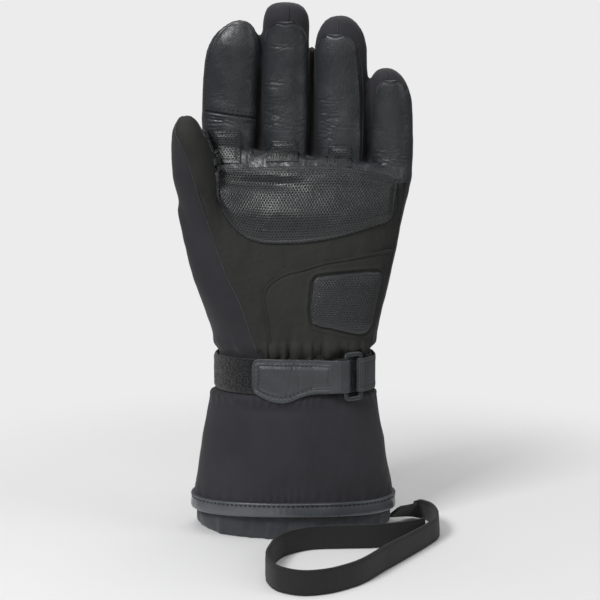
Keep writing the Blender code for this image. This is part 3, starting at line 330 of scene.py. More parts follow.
def normals_of(points, wrap=False):
    """Unit normals from the cross product of the grid's two directions."""
    if wrap:
        across = np.roll(points, -1, axis=1) - np.roll(points, 1, axis=1)
    else:
        across = np.gradient(points, axis=1)
    normal = np.cross(across, np.gradient(points, axis=0))
    return normal / np.maximum(np.linalg.norm(normal, axis=-1, keepdims=True), 1e-12)


def edge_distances(points):
    """For each grid point, the way along its row and column to the left, right, bottom and top edges."""
    wide = np.pad(np.cumsum(np.linalg.norm(np.diff(points, axis=1), axis=-1), axis=1), ((0, 0), (1, 0)))
    tall = np.pad(np.cumsum(np.linalg.norm(np.diff(points, axis=0), axis=-1), axis=0), ((1, 0), (0, 0)))
    return wide, wide[:, -1:] - wide, tall, tall[-1:] - tall


# %% [markdown]
# ## Finishes
# A finish is grain, colour and shine. One class wraps a socket, so that shader maths reads like
# arithmetic, and one method makes any other node. Grain in object coordinates stays the same size on
# every piece.

# %% Shader arithmetic
class Value:
    """A socket whose operators add Math nodes to its tree."""

    def __init__(self, finish, socket):
        self.finish, self.socket = finish, socket

    def math(self, operation, *others):
        return self.finish.node("ShaderNodeMath", {"operation": operation}, [self, *others])[0]

    def __add__(self, other):
        return self.math("ADD", other)

    def __sub__(self, other):
        return self.math("SUBTRACT", other)

    def __rsub__(self, other):
        return self.finish.node("ShaderNodeMath", {"operation": "SUBTRACT"}, [other, self])[0]

    def __mul__(self, other):
        return self.math("MULTIPLY", other)

    __radd__, __rmul__ = __add__, __mul__

    def sine(self):
        return self.math("SINE")

    def fraction(self):
        return self.math("FRACT")

    def power(self, other):
        return self.math("POWER", other)

    def ramp(self, low, high):
        """0 at low and below, 1 at high and above, smooth between."""
        settings = {"interpolation_type": "SMOOTHSTEP"}
        inputs = {"Value": self, "From Min": low, "From Max": high}
        return self.finish.node("ShaderNodeMapRange", settings, inputs)[0]


class Finish:
    """A material with one Principled shader, and short ways to patterns that feed it."""

    def __init__(self, name, roughness, **fixed):
        self.material = bpy.data.materials.new(name)
        self.material.use_nodes = True
        self.tree = self.material.node_tree
        self.shader = self.tree.nodes["Principled BSDF"]
        self.shader.inputs["Roughness"].default_value = roughness
        for key, value in fixed.items():
            self.shader.inputs[key.replace("_", " ")].default_value = value
        self.place = self.node("ShaderNodeTexCoord", {}, {}, "Object")
        self.map = None

    def node(self, kind, settings, inputs, *wanted):
        """Makes a node, sets it, fills its sockets with values or links, and returns its outputs."""
        made = self.tree.nodes.new(kind)
        for key, value in settings.items():
            setattr(made, key, value)
        pairs = inputs.items() if isinstance(inputs, dict) else enumerate(inputs)
        for key, value in pairs:
            if isinstance(value, Value):
                self.tree.links.new(value.socket, made.inputs[key])
            else:
                made.inputs[key].default_value = value
        found = [made.outputs[key] for key in wanted] if wanted else [o for o in made.outputs if o.enabled]
        values = [Value(self, socket) for socket in found]
        return values[0] if len(wanted) == 1 else values

    def noise(self, size, detail=3.0, stretch=(1, 1, 1), roughness=0.5):
        """Noise with features about so large, in metres, stretched along an axis where a share is below 1."""
        at = self.node("ShaderNodeMapping", {}, {"Vector": self.place, "Scale": stretch}, "Vector")
        inputs = {"Vector": at, "Scale": 1 / size, "Detail": detail, "Roughness": roughness}
        return self.node("ShaderNodeTexNoise", {}, inputs, "Fac")

    def cells(self, size, feature="DISTANCE_TO_EDGE"):
        inputs = {"Vector": self.place, "Scale": 1 / size}
        return self.node("ShaderNodeTexVoronoi", {"feature": feature}, inputs, "Distance")

    def across_and_along(self):
        """The piece's own map, in metres, as two values."""
        if self.map is None:
            uv = self.node("ShaderNodeUVMap", {"uv_map": "UVMap"}, {}, "UV")
            self.map = self.node("ShaderNodeSeparateXYZ", {}, [uv], "X", "Y")
        return self.map

    def mark(self, name):
        return self.node("ShaderNodeAttribute", {"attribute_name": name}, {}, "Fac")

    def blend(self, first, second, share):
        """A colour between two linear colours, or values that already are colours."""
        made = self.tree.nodes.new("ShaderNodeMix")
        made.data_type = "RGBA"
        for key, value in ((6, first), (7, second), (0, share)):
            if isinstance(value, Value):
                self.tree.links.new(value.socket, made.inputs[key])
            else:
                made.inputs[key].default_value = value if key == 0 else (*value, 1)
        return Value(self, made.outputs[2])

    def colour(self, value):
        self.tree.links.new(value.socket, self.shader.inputs["Base Color"])

    def shine(self, value):
        self.tree.links.new(value.socket, self.shader.inputs["Roughness"])

    def relief(self, height, distance, strength=1.0):
        """Height from 0 to 1 as a bump so deep, in metres."""
        inputs = {"Height": height, "Distance": distance, "Strength": strength}
        made = self.node("ShaderNodeBump", {}, inputs, "Normal")
        self.tree.links.new(made.socket, self.shader.inputs["Normal"])


def seen(*levels):
    """A colour as seen on a screen, 0 to 255, made linear."""
    share = np.array(levels) / 255
    linear = np.where(share <= 0.04045, share / 12.92, ((share + 0.055) / 1.055) ** 2.4)
    return tuple(float(c) for c in linear)


# %% Cloth finishes
def softshell_finish(name, gaps):
    """Tightly woven shell cloth: fine crossed threads and a soft sheen; with gaps, painted shade near black
    between the fingers, where the mark called gap is 1.
    """
    f = Finish(name, 0.78, Sheen_Weight=0.10, Sheen_Roughness=0.5, Specular_IOR_Level=0.35)
    weave = f.noise(0.45 * MM, 2.0, (1, 1, 0.45)) + f.noise(0.45 * MM, 2.0, (0.45, 0.45, 1))
    f.relief(weave * 0.5, 0.18 * MM, 0.8)
    slow = f.noise(28 * MM, 3.0)
    cloth = f.blend(seen(26, 25, 29), seen(58, 57, 63), slow * 0.7 + weave * 0.2)
    # where the mark called gap is 1 the cloth goes to near black: painted shade between the fingers
    f.colour(f.blend(cloth, seen(4, 4, 5), f.mark("gap")) if gaps else cloth)
    f.shine(slow * 0.12 + 0.70)
    return f.material


def lining_finish():
    """Softer brushed cloth of the inner cuff: a nap, and a slow random change of tone."""
    f = Finish("lining_cloth", 0.85, Sheen_Weight=0.2, Sheen_Roughness=0.6, Specular_IOR_Level=0.3)
    nap = f.noise(0.6 * MM, 3.0, (1, 1, 0.5))
    slow = f.noise(16 * MM, 2.0)
    f.relief(nap, 0.25 * MM, 0.7)
    f.colour(f.blend(seen(36, 38, 42), seen(68, 72, 77), slow * 0.75 + nap * 0.2))
    return f.material


def suede_finish():
    """Matte split leather: short nap brushed in patches, a little brown in the black."""
    f = Finish("matte_leather", 0.82, Specular_IOR_Level=0.35)
    nap = f.noise(0.5 * MM, 4.0, (1, 1, 0.6), 0.65)
    patches = f.noise(11 * MM, 4.0, (1, 1, 0.6), 0.6)
    f.relief(nap * 0.7 + patches * 0.5, 0.22 * MM, 0.8)
    f.colour(f.blend(seen(28, 28, 27), seen(58, 58, 56), patches * 0.7 + nap * 0.25))
    f.shine(patches * 0.15 + 0.68)
    return f.material


def leather_grain(f):
    """Grain of goatskin: small cells with soft creases between them, over finer pores."""
    cells = f.cells(1.15 * MM).ramp(0.0, 0.22)
    pores = f.noise(0.35 * MM, 3.0)
    return cells * 0.55 + pores * 0.45


def smooth_leather_finish(name, low, high):
    """Finger leather: fine grain, a low shine that is uneven where hands have rubbed it."""
    f = Finish(name, 0.42, Specular_IOR_Level=0.65, Coat_Weight=0.25, Coat_Roughness=0.33)
    grain = leather_grain(f)
    rubbed = f.noise(9 * MM, 4.0, (1, 1, 1), 0.6)
    f.relief(grain * 0.8 + rubbed * 0.4, 0.16 * MM, 0.7)
    f.colour(f.blend(low, high, rubbed * 0.6 + grain * 0.3))
    f.shine(rubbed * 0.26 + 0.24)
    return f.material


def perforated_finish(name, across, along, clear):
    """Grip leather with punched holes in staggered rows, clear of the edge by the mark called edge."""
    f = Finish(name, 0.42, Specular_IOR_Level=0.65, Coat_Weight=0.2, Coat_Roughness=0.3)
    u, v = f.across_and_along()
    row = v * (1 / along)
    shifted = u * (1 / across) + (row * 0.5).fraction().ramp(0.499, 0.501) * 0.5
    du, dv = (shifted.fraction() - 0.5) * across, (row.fraction() - 0.5) * along
    away = (du * du + dv * dv).power(0.5)
    hole = (1 - away.ramp(0.22 * MM, 0.44 * MM)) * f.mark("edge").ramp(clear, clear + 0.8 * MM)
    grain = leather_grain(f)
    rubbed = f.noise(8 * MM, 4.0)
    f.relief(grain * 0.28 - hole + 0.5, 0.45 * MM, 0.8)
    skin = f.blend(seen(22, 24, 26), seen(54, 56, 58), rubbed * 0.6 + grain * 0.3)
    # near black in the holes stands partly for what lies under them and partly for painted shade down inside
    # them
    f.colour(f.blend(skin, seen(3, 3, 4), hole))
    f.shine(rubbed * 0.2 + hole * 0.5 + 0.27)
    return f.material


def tape_finish():
    """Smooth coated tape: faint grain and a clean low shine."""
    f = Finish("hem_tape", 0.36, Specular_IOR_Level=0.7, Coat_Weight=0.4, Coat_Roughness=0.28)
    fine = f.noise(0.5 * MM, 3.0)
    rubbed = f.noise(14 * MM, 3.0)
    f.relief(fine, 0.05 * MM, 0.5)
    f.colour(f.blend(seen(56, 59, 63), seen(92, 97, 102), rubbed * 0.8 + fine * 0.2))
    f.shine(rubbed * 0.16 + 0.22)
    return f.material


def pile_finish():
    """Loop pile: tangled tufts, with painted shade down between them and painted light on their tops."""
    f = Finish("pile", 0.95, Sheen_Weight=0.35, Sheen_Roughness=0.5, Specular_IOR_Level=0.2)
    tufts = f.noise(0.9 * MM, 4.0, (1, 1, 1), 0.7)
    f.relief(tufts, 0.9 * MM, 1.0)
    # the colour follows the tufts' height: painted shade between the tufts, painted light on their tops
    f.colour(f.blend(seen(5, 5, 6), seen(52, 52, 58), tufts.ramp(0.42, 0.72)))
    return f.material


def plastic_finish():
    """Moulded nylon: nearly even, satin, with faint flow marks."""
    f = Finish("buckle_plastic", 0.28, Specular_IOR_Level=0.6)
    flow = f.noise(4 * MM, 3.0)
    fine = f.noise(0.25 * MM, 2.0)
    f.relief(fine, 0.03 * MM, 0.4)
    f.colour(f.blend(seen(42, 45, 47), seen(62, 66, 70), flow))
    f.shine(flow * 0.14 + 0.20)
    return f.material


def webbing_finish(name, low, high):
    """Ribbed webbing: crosswise cords along the map's u, each split by the warp threads along v."""
    f = Finish(name, 0.8, Sheen_Weight=0.1, Specular_IOR_Level=0.35)
    u, v = f.across_and_along()
    cords = (u * (2 * math.pi / (1.05 * MM))).sine() * 0.5 + 0.5
    warp = (v * (2 * math.pi / (0.62 * MM))).sine() * 0.5 + 0.5
    fuzz = f.noise(0.5 * MM, 3.0)
    height = cords * 0.6 + warp * 0.25 + fuzz * 0.3
    f.relief(height, 0.22 * MM, 0.8)
    # the colour follows the height of the weave: painted shade down in the grooves between the cords, painted
    # light on their crests
    f.colour(f.blend(low, high, height * 0.8))
    return f.material


def thread_finish(name, low, high):
    """Twisted polyester thread: slanted plies."""
    f = Finish(name, 0.55, Specular_IOR_Level=0.4)
    ply = f.noise(0.3 * MM, 1.0)
    f.relief(ply, 0.05 * MM, 0.5)
    f.colour(f.blend(low, high, ply))
    return f.material


# the second softshell paints shade near black between the fingers, where the mark called gap is 1
SOFTSHELL, SHELL_CLOTH_GAP_SHADE = softshell_finish("softshell", False), softshell_finish("shell_cloth_gap_shade", True)
LINING, SUEDE = lining_finish(), suede_finish()
LEATHER = smooth_leather_finish("smooth_leather", seen(30, 32, 35), seen(58, 62, 66))
STRAP_LEATHER = smooth_leather_finish("strap_leather", seen(36, 39, 42), seen(72, 76, 80))
# holes: spacing across and along, how far clear of the edge on the grip, and on the tabs and the small grip
HOLES, TAB_HOLES = (1.70 * MM, 1.35 * MM), (1.7 * MM, 1.5 * MM)
CLEAR, TAB_CLEAR = 2.6 * MM, 2.2 * MM
GRIP = perforated_finish("grip_leather", *HOLES, CLEAR)
TAB_GRIP = perforated_finish("tab_leather", *TAB_HOLES, TAB_CLEAR)
TAPE, PILE, PLASTIC = tape_finish(), pile_finish(), plastic_finish()
WEBBING = webbing_finish("webbing", seen(14, 14, 14), seen(46, 46, 46))
ANCHOR_WEBBING = webbing_finish("anchor_webbing", seen(40, 42, 44), seen(80, 83, 86))
DARK_THREAD = thread_finish("dark_thread", seen(10, 10, 11), seen(34, 35, 37))
LIGHT_THREAD = thread_finish("light_thread", seen(78, 82, 86), seen(122, 127, 132))
print("finishes:", len(bpy.data.materials))


# %% Placing a piece
def dress(piece, material, slot, *nodes):
    """Gives a piece its finish, hides the CAD nodes that it stands for, and lets it ride with the root. The
    slot is not used.
    """
    piece.data.materials.clear()
    piece.data.materials.append(material)
    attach(piece, "root")
    if nodes:
        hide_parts(*nodes)
    co = np.empty(len(piece.data.vertices) * 3, np.float32)
    piece.data.vertices.foreach_get("co", co)
    size = np.ptp(co.reshape(-1, 3), axis=0) / MM
    print(piece.name, "faces:", len(piece.data.polygons), "size, mm:", size.round(1))
    return piece


# %% [markdown]
# ## The shell of the hand
# The palm, thumb and fingers are closed tubes that run into each other. A voxel remesh makes one skin
# of them, and a few rounds of smoothing fill the webs between the fingers. Then the skin moves along
# its normals, by a few tenths of a millimetre, to the soft dents of padded cloth.

# %% Tubes of the hand
def ring_quads(rows, columns):
    """Faces between neighbouring rings of a tube."""
    i, j = np.meshgrid(np.arange(rows - 1), np.arange(columns), indexing="ij")
    k, low, high = (j + 1) % columns, i * columns, (i + 1) * columns
    return np.stack([low + j, low + k, high + k, high + j], axis=-1).reshape(-1, 4)


def closed_tube(points):
    """Points and faces of a tube of rings closed at both ends."""
    rows, columns = points.shape[:2]
    ends = [np.arange(columns)[None, ::-1], (rows - 1) * columns + np.arange(columns)[None]]
    return points.reshape(-1, 3), [ring_quads(rows, columns), *ends]


def hand_tubes():
    """Closed tubes of the palm, the thumb, the four fingers and the three gussets between them."""
    turn = np.linspace(0, 2 * math.pi, 128, endpoint=False)
    heights = np.linspace(-0.02, 1, 150)
    side = palm_point(turn[None], heights[:, None])
    share = np.sin(np.linspace(0.1, 1, 8) * math.pi / 2)[:, None]
    top = palm_point(turn[None], np.ones((8, 1)), KNUCKLE_ROUND * (1 - np.sqrt(1 - share**2)))
    top[:, :, 2] += KNUCKLE_ROUND * (share - 1)
    low = heights < 1 - KNUCKLE_ROUND / PALM_LENGTH
    tubes = [closed_tube(np.concatenate([side[low], top]))]
    along = 0.992 * (1 - (1 - np.linspace(0, 1, 70)) ** 1.4)
    x, y = round_section(turn[None, ::2], [part[:, None] for part in thumb_frame(along)])
    z = np.broadcast_to(WRIST_Z + THUMB_ROOT + along[:, None] * THUMB_LENGTH, x.shape)
    tubes.append(closed_tube(np.stack([x, y, z], axis=-1)))
    for finger in FINGERS:
        body = np.linspace(-0.22, 1 - finger.rounding, 60)
        tip = 1 - finger.rounding * (1 - np.sin(np.linspace(0.03, 0.99, 30) * math.pi / 2))
        along = np.concatenate([body, tip])
        x, y = round_section(turn[None, ::2], [part[:, None] for part in finger_frame(finger, along)])
        z = np.broadcast_to(finger_base(finger) + along[:, None] * finger.length, x.shape)
        tubes.append(closed_tube(np.stack([x, y, z], axis=-1)))
    for first, second, top in ((0, 1, 0.2975), (1, 2, 0.2955), (2, 3, 0.2710)):
        tubes.append(gusset(FINGERS[first], FINGERS[second], top))
    return tubes


def facing_sides(first, second, z, low, high):
    """At heights z, where the first finger's right side and the second's left side are."""
    frames = [finger_frame(f, np.clip((z - finger_base(f)) / f.length, low, high)) for f in (first, second)]
    return frames[0][0] + frames[0][2], frames[1][0] - frames[1][2]


def gusset(first, second, top):
    """A flat tube between two fingers: as wide as the gap there and a little more, up to where they part."""
    z = np.linspace(KNUCKLE_Z - 8 * MM, top, 44)
    right, left = facing_sides(first, second, z, -0.2, 0.97)
    shrink = np.sqrt(1 - 0.97 * ease(z, top - 7 * MM, top) ** 2)[:, None]
    half = np.maximum((left - right) / 2, 0)[:, None] + 2.2 * MM
    turn = np.linspace(0, 2 * math.pi, 32, endpoint=False)[None]
    x = (right + left)[:, None] / 2 + half * shrink * np.cos(turn)
    y = 2.0 * MM + 7.0 * MM * shrink * np.sin(turn)
    return closed_tube(np.stack([x, y, np.repeat(z[:, None], 32, axis=1)], axis=-1))


def one_skin(tubes, voxel):
    """All tubes in one mesh, remeshed into a single skin of quads, as arrays."""
    points, faces, count = [], [], 0
    for tube_points, tube_faces in tubes:
        points.append(tube_points)
        faces += [block + count for block in tube_faces]
        count += len(tube_points)
    rough = piece_from("rough_hand", np.concatenate(points) - PLACE, faces)
    remesh = rough.modifiers.new("skin", "REMESH")
    remesh.mode = "VOXEL"
    remesh.voxel_size = voxel
    made = rough.evaluated_get(bpy.context.evaluated_depsgraph_get()).to_mesh()
    co = np.empty(len(made.vertices) * 3, np.float32)
    made.vertices.foreach_get("co", co)
    loops = np.empty(len(made.loops), np.int32)
    made.loops.foreach_get("vertex_index", loops)
    bpy.data.objects.remove(rough)
    return co.reshape(-1, 3).astype(float), loops.reshape(-1, 4)


def smoothed(points, quads, rounds, pull=0.5):
    """Moves each point towards the mean of its neighbours, so many times."""
    edges = np.concatenate([quads[:, [0, 1]], quads[:, [1, 2]], quads[:, [2, 3]], quads[:, [3, 0]]])
    count = np.bincount(edges[:, 0], minlength=len(points)) + np.bincount(edges[:, 1], minlength=len(points))
    for _ in range(rounds):
        total = np.zeros_like(points)
        for axis in range(3):
            total[:, axis] += np.bincount(edges[:, 0], points[edges[:, 1], axis], len(points))
            total[:, axis] += np.bincount(edges[:, 1], points[edges[:, 0], axis], len(points))
        points = points + pull * (total / np.maximum(count, 1)[:, None] - points)
    return points


def point_normals(points, quads):
    corner = points[quads]
    face = np.cross(corner[:, 2] - corner[:, 0], corner[:, 3] - corner[:, 1])
    total = np.zeros_like(points)
    for axis in range(3):
        total[:, axis] = sum(np.bincount(quads[:, k], face[:, axis], len(points)) for k in range(4))
    return total / np.maximum(np.linalg.norm(total, axis=1, keepdims=True), 1e-12)


def make_shell():
    """The skin of softshell cloth. The mark called gap is 1 deep between the fingers, where the finish paints
    shade near black.
    """
    points, quads = one_skin(hand_tubes(), 1.25 * MM)
    points = smoothed(points, quads, 9)
    normal = point_normals(points, quads)
    soft = ease(points[:, 2], WRIST_Z + 16 * MM, WRIST_Z + 30 * MM)
    move = 0.35 * MM * ripple(points, 34 * MM, 3) + 0.16 * MM * ripple(points, 13 * MM, 5)
    tip = ease(points[:, 2], 0.262, 0.30) * ease(-points[:, 1], -0.004, 0.008)
    move += 0.06 * MM * tip * np.sin(points[:, 0] / (0.42 * MM) + 2.5 * ripple(points, 9 * MM, 8))
    points = points + normal * (soft * move)[:, None]
    keep = (points[quads][:, :, 2] > WRIST_Z + 0.4 * MM).all(axis=1)
    used, index = np.unique(quads[keep], return_inverse=True)
    # The mark for painted shade: near 1 midway between neighbouring fingers, behind their fronts, from their
    # bases up to where they part.
    between = np.zeros(len(points))
    for first, second in zip(FINGERS[:-1], FINGERS[1:]):
        middle = sum(facing_sides(first, second, points[:, 2], 0, 0.9)) / 2
        between = np.maximum(between, bump_at(points[:, 0], middle, 4.2 * MM))
    between *= ease(points[:, 1], -17 * MM, -9 * MM) * ease(points[:, 2], 0.222, 0.232)
    between *= 1 - ease(points[:, 2], 0.290, 0.304)
    marks = {"gap": between[used]}
    shell = piece_from("hand_shell_skin", points[used], [index.reshape(-1, 4)], marks=marks)
    dress(shell, SHELL_CLOTH_GAP_SHADE, "softshell", "hand_shell")


make_shell()


# %% [markdown]
# ## The lining
# Looking up the open cuff, a stranger sees the fleece inside. It is a plain sleeve a few millimetres
# inside the shell, closed below the knuckles.

# %% Lining
def make_lining():
    """The plain sleeve inside the palm."""
    turn = np.linspace(2 * math.pi, 0, 72, endpoint=False)
    heights = np.linspace(0.005, 0.93, 70)
    points = palm_point(turn[None], heights[:, None], 3.6 * MM)
    points[0] = palm_point(turn, np.full(72, 0.005), 0.6 * MM)
    close = np.linspace(1, 0.02, 14)[1:, None, None]
    middle = points[-1].mean(axis=0)
    points = np.concatenate([points, middle + (points[-1] - middle) * close + (0, 0, 0.004) * (1 - close)])
    points += normals_of(points, True) * (0.35 * MM * ripple(points, 12 * MM, 21))[..., None]
    dress(grid_piece("hand_lining", points, wrap=True), LINING, "lining_cloth")


make_lining()

# %% [markdown]
# ## Leather panels
# A panel is a sheet that is cut to an outline, padded or not, and sewn down so that its rim dives to
# the cloth. Its outline is a table of shares. The sheet is a grid between the outline's two sides, laid
# on the front, and lifted along its normals by a profile of the distance to the rim.

# %% Outlines of the panels
# height, left, right
SUEDE_EDGE = np.array([
    (0.100, -0.470, 0.925), (0.136, -0.462, 0.925), (0.190, -0.506, 0.925), (0.272, -0.577, 0.930),
    (0.371, -0.666, 0.932), (0.460, -0.767, 0.935), (0.572, -0.861, 0.938), (0.705, -0.945, 0.940),
    (0.815, -1.008, 0.940), (0.880, -1.038, 0.935), (0.905, -1.049, 0.930), (0.925, -1.058, 0.925),
])
THUMB_EDGE = np.array([
    (0.860, -1.029, -0.840), (0.900, -1.047, -0.845), (0.935, -1.063, -0.866), (0.960, -1.076, -0.876),
    (1.013, -1.107, -0.893),
    (1.060, -1.150, -0.920), (1.104, -1.195, -0.966), (1.150, -1.188, -1.015), (1.172, -1.163, -1.046),
    (1.180, -1.140, -1.066),
])
HEEL_EDGE = np.array([
    (0.100, -0.272, 0.925), (0.132, -0.290, 0.925), (0.187, -0.317, 0.925), (0.278, -0.361, 0.925),
    (0.368, -0.402, 0.925), (0.422, -0.383, 0.925), (0.452, -0.325, 0.925), (0.474, -0.255, 0.925),
    (0.494, -0.165, 0.925), (0.511, -0.010, 0.925), (0.524, 0.090, 0.925), (0.538, 0.194, 0.925),
    (0.561, 0.499, 0.925), (0.578, 0.720, 0.925), (0.590, 0.900, 0.925),
])
# across, bottom, top
PATCH_EDGE = np.array([
    (-0.862, 0.830, 0.940), (-0.820, 0.774, 0.946), (-0.735, 0.706, 0.950), (-0.616, 0.652, 0.953),
    (-0.465, 0.624, 0.957), (-0.190, 0.616, 0.962), (0.050, 0.622, 0.964), (0.250, 0.635, 0.962),
    (0.400, 0.650, 0.954), (0.550, 0.670, 0.940), (0.700, 0.692, 0.926), (0.800, 0.706, 0.912),
    (0.860, 0.730, 0.884),
])
HEEL_PATCH_EDGE = np.array([
    (0.135, 0.330, 0.450), (0.165, 0.278, 0.470), (0.230, 0.258, 0.478), (0.400, 0.240, 0.486),
    (0.600, 0.220, 0.492), (0.760, 0.212, 0.494), (0.830, 0.225, 0.488), (0.862, 0.255, 0.466),
])


def palm_place(across, height):
    """Shares of the half width and of the height, as places x and z."""
    row = read_table(PALM, np.minimum(height, 1.0))
    half = WRIST_WIDTH / 2 + row[..., 0] * (HAND_WIDTH - WRIST_WIDTH) / 2
    return row[..., 1] * HAND_SHIFT + across * half, WRIST_Z + height * PALM_LENGTH


def turned(across):
    inside = np.clip(across, -0.95, 0.95)
    return np.arcsin(inside) + (across - inside)


def unturned(angle):
    inside = np.clip(angle, -math.asin(0.95), math.asin(0.95))
    return np.sin(inside) + (angle - inside)


def straight_rows(rows, at):
    return np.stack([np.interp(at, rows[:, 0], rows[:, k]) for k in range(1, rows.shape[1])], axis=-1)


def row_grid(rows, place, up, across):
    """A grid between left and right edges, evenly spaced in angle across the palm."""
    first = np.linspace(rows[0, 0], rows[-1, 0], up)
    left, right = straight_rows(rows, first).T
    share = np.linspace(0, 1, across)[None]
    sides = turned(left)[:, None] * (1 - share) + turned(right)[:, None] * share
    x, z = place(unturned(sides), np.repeat(first[:, None], across, axis=1))
    return np.stack([x, hand_front(x, z), z], axis=-1)


def column_grid(rows, place, up, across):
    """A grid between bottom and top edges, evenly spaced in angle across the palm."""
    ends = turned(rows[[0, -1], 0])
    first = unturned(np.linspace(ends[0], ends[1], across))
    bottom, top = read_table(rows, first).T
    share = np.linspace(0, 1, up)[:, None]
    x, z = place(np.repeat(first[None], up, axis=0), bottom * (1 - share) + top * share)
    return np.stack([x, hand_front(x, z), z], axis=-1)


def rim(points, roll, skip=()):
    """0 at the rim and 1 past the roll's width, by the nearest of the four edges that aren't skipped."""
    sides = dict(zip(("left", "right", "bottom", "top"), edge_distances(points)))
    near = np.min([away for name, away in sides.items() if name not in skip], axis=0)
    share = np.clip(near / roll, 0, 1)
    return np.sqrt(share * (2 - share)), near


def lifted(points, lift):
    return points + normals_of(points) * lift[..., None]


def to_line(points, line):
    """Distance in the plane of the front from each point to a polyline of (x, z)."""
    flat = points[..., [0, 2]].reshape(-1, 2)
    start, step = line[:-1], np.diff(line, axis=0)
    near = np.full(len(flat), 1.0)
    for a, d in zip(start, step):
        t = np.clip(((flat - a) @ d) / (d @ d), 0, 1)
        near = np.minimum(near, np.hypot(*(flat - a - t[:, None] * d).T))
    return near.reshape(points.shape[:-1])


def front_line(shares, count=120):
    """A smooth line on the front through (height, across) shares, as (x, z)."""
    shares = np.array(shares, float)
    x, z = palm_place(shares[:, 1], shares[:, 0])
    line = np.stack([x, z], axis=1)
    at = np.concatenate([[0], np.cumsum(np.linalg.norm(np.diff(line, axis=0), axis=1))])
    return read_table(np.column_stack([at, line]), np.linspace(0, at[-1], count))


# %% [markdown]
# ## Stitches and piping
# A stitch is a short capsule that sinks at both ends. Hundreds of them share one small form, turned and
# placed by arrays. Piping is a thin round cord sewn along a seam.

# %% Stitches and piping
STITCHES = {"dark": [], "light": []}


def capsule(sides=6):
    """A unit capsule along x: rings of radius sin at places -cos, its ends sunk along -z."""
    t = np.linspace(0.12, math.pi - 0.12, 5)
    turn = np.linspace(0, 2 * math.pi, sides, endpoint=False)
    x = np.repeat(-np.cos(t)[:, None], sides, axis=1)
    y = np.sin(t)[:, None] ** 0.6 * np.cos(turn)[None]
    z = np.sin(t)[:, None] ** 0.6 * np.sin(turn)[None] - 1.2 * x**2 + 0.5
    return np.stack([x, y, z], axis=-1).reshape(-1, 3), ring_quads(5, sides)[:, ::-1]


def along_path(path, spacing, start=0.5):
    """Evenly spaced places on a polyline, with their directions and the step between them."""
    gaps = np.linalg.norm(np.diff(path, axis=0), axis=1)
    at = np.concatenate([[0], np.cumsum(gaps)])
    count = max(int(at[-1] / spacing), 1)
    places = (np.arange(count) + start) * at[-1] / count
    spot = np.stack([np.interp(places, at, path[:, k]) for k in range(3)], axis=1)
    ahead = np.stack([np.interp(places + 2e-4, at, path[:, k]) for k in range(3)], axis=1) - spot
    ahead = np.where(np.linalg.norm(ahead, axis=1, keepdims=True) < 1e-7, path[-1] - path[-2], ahead)
    return spot, ahead / np.linalg.norm(ahead, axis=1, keepdims=True), places


def sew(path, normals, tone="dark", spacing=2.3 * MM, length=1.6 * MM, radius=0.20 * MM):
    """Keeps a line of stitches along a path over the surface whose normals are given."""
    spot, ahead, places = along_path(path, spacing)
    at = np.concatenate([[0], np.cumsum(np.linalg.norm(np.diff(path, axis=0), axis=1))])
    up = np.stack([np.interp(places, at, normals[:, k]) for k in range(3)], axis=1)
    side = np.cross(up, ahead)
    side /= np.linalg.norm(side, axis=1, keepdims=True)
    up = np.cross(ahead, side)
    base, quads = capsule()
    points = spot[:, None] + base[None, :, :1] * ahead[:, None] * length / 2
    points = points + base[None, :, 1:2] * side[:, None] * radius + base[None, :, 2:] * up[:, None] * radius
    STITCHES[tone].append((points, quads))


def grid_path(points, i, j):
    """Places and normals at fractional rows i and columns j of a grid."""
    normal = normals_of(points)
    i, j = np.clip(i, 0, points.shape[0] - 1.001), np.clip(j, 0, points.shape[1] - 1.001)
    i0, j0 = i.astype(int), j.astype(int)
    a, b = (i - i0)[:, None], (j - j0)[:, None]
    found = []
    for field in (points, normal):
        low = field[i0, j0] * (1 - b) + field[i0, j0 + 1] * b
        high = field[i0 + 1, j0] * (1 - b) + field[i0 + 1, j0 + 1] * b
        found.append(low * (1 - a) + high * a)
    return found


def sew_rim(points, inset, sides, *thread):
    """Sews along the chosen sides of a grid, so far inside its rim, with sew's tone, spacing and sizes."""
    left, right, bottom, top = edge_distances(points)
    rows, columns = points.shape[:2]
    i, j = np.arange(rows, dtype=float), np.arange(columns, dtype=float)
    j_left = np.array([np.interp(inset, left[k], j) for k in range(rows)])
    j_right = np.array([np.interp(inset, right[k][::-1], j[::-1]) for k in range(rows)])
    i_bottom = np.array([np.interp(inset, bottom[:, k], i) for k in range(columns)])
    i_top = np.array([np.interp(inset, top[::-1, k], i[::-1]) for k in range(columns)])
    within = (i >= i_bottom.min()) & (i <= i_top.max())
    lines = {
        "left": (i[within], j_left[within]), "right": (i[within], j_right[within]),
        "bottom": (i_bottom, j), "top": (i_top, j),
    }
    for side in sides.split():
        a, b = lines[side]
        if side in ("bottom", "top"):
            keep = (b >= j_left.min()) & (b <= j_right.max())
            a, b = a[keep], b[keep]
        path, normal = grid_path(points, a, b)
        sew(path, normal, *thread)


def piping(name, path, normals, radius, material, slot, sunk=0.35):
    """A round cord along a path, sunk into the cloth by a share of its radius."""
    ahead = np.gradient(path, axis=0)
    ahead /= np.linalg.norm(ahead, axis=1, keepdims=True)
    side = np.cross(ahead, normals)
    side /= np.linalg.norm(side, axis=1, keepdims=True)
    turn = np.linspace(0, 2 * math.pi, 10, endpoint=False)[None, :, None]
    size = radius * np.minimum(1, np.linspace(0, len(path) - 1, len(path)) / 2 + 0.3)
    size = np.minimum(size, radius * (np.linspace(len(path) - 1, 0, len(path)) / 2 + 0.3))[:, None, None]
    centre = path - normals * radius * sunk
    points = centre[:, None] + size * (np.cos(turn) * side[:, None] + np.sin(turn) * normals[:, None])
    made = grid_piece(name, points, wrap=True, caps=True)
    made.data.flip_normals()
    return dress(made, material, slot)


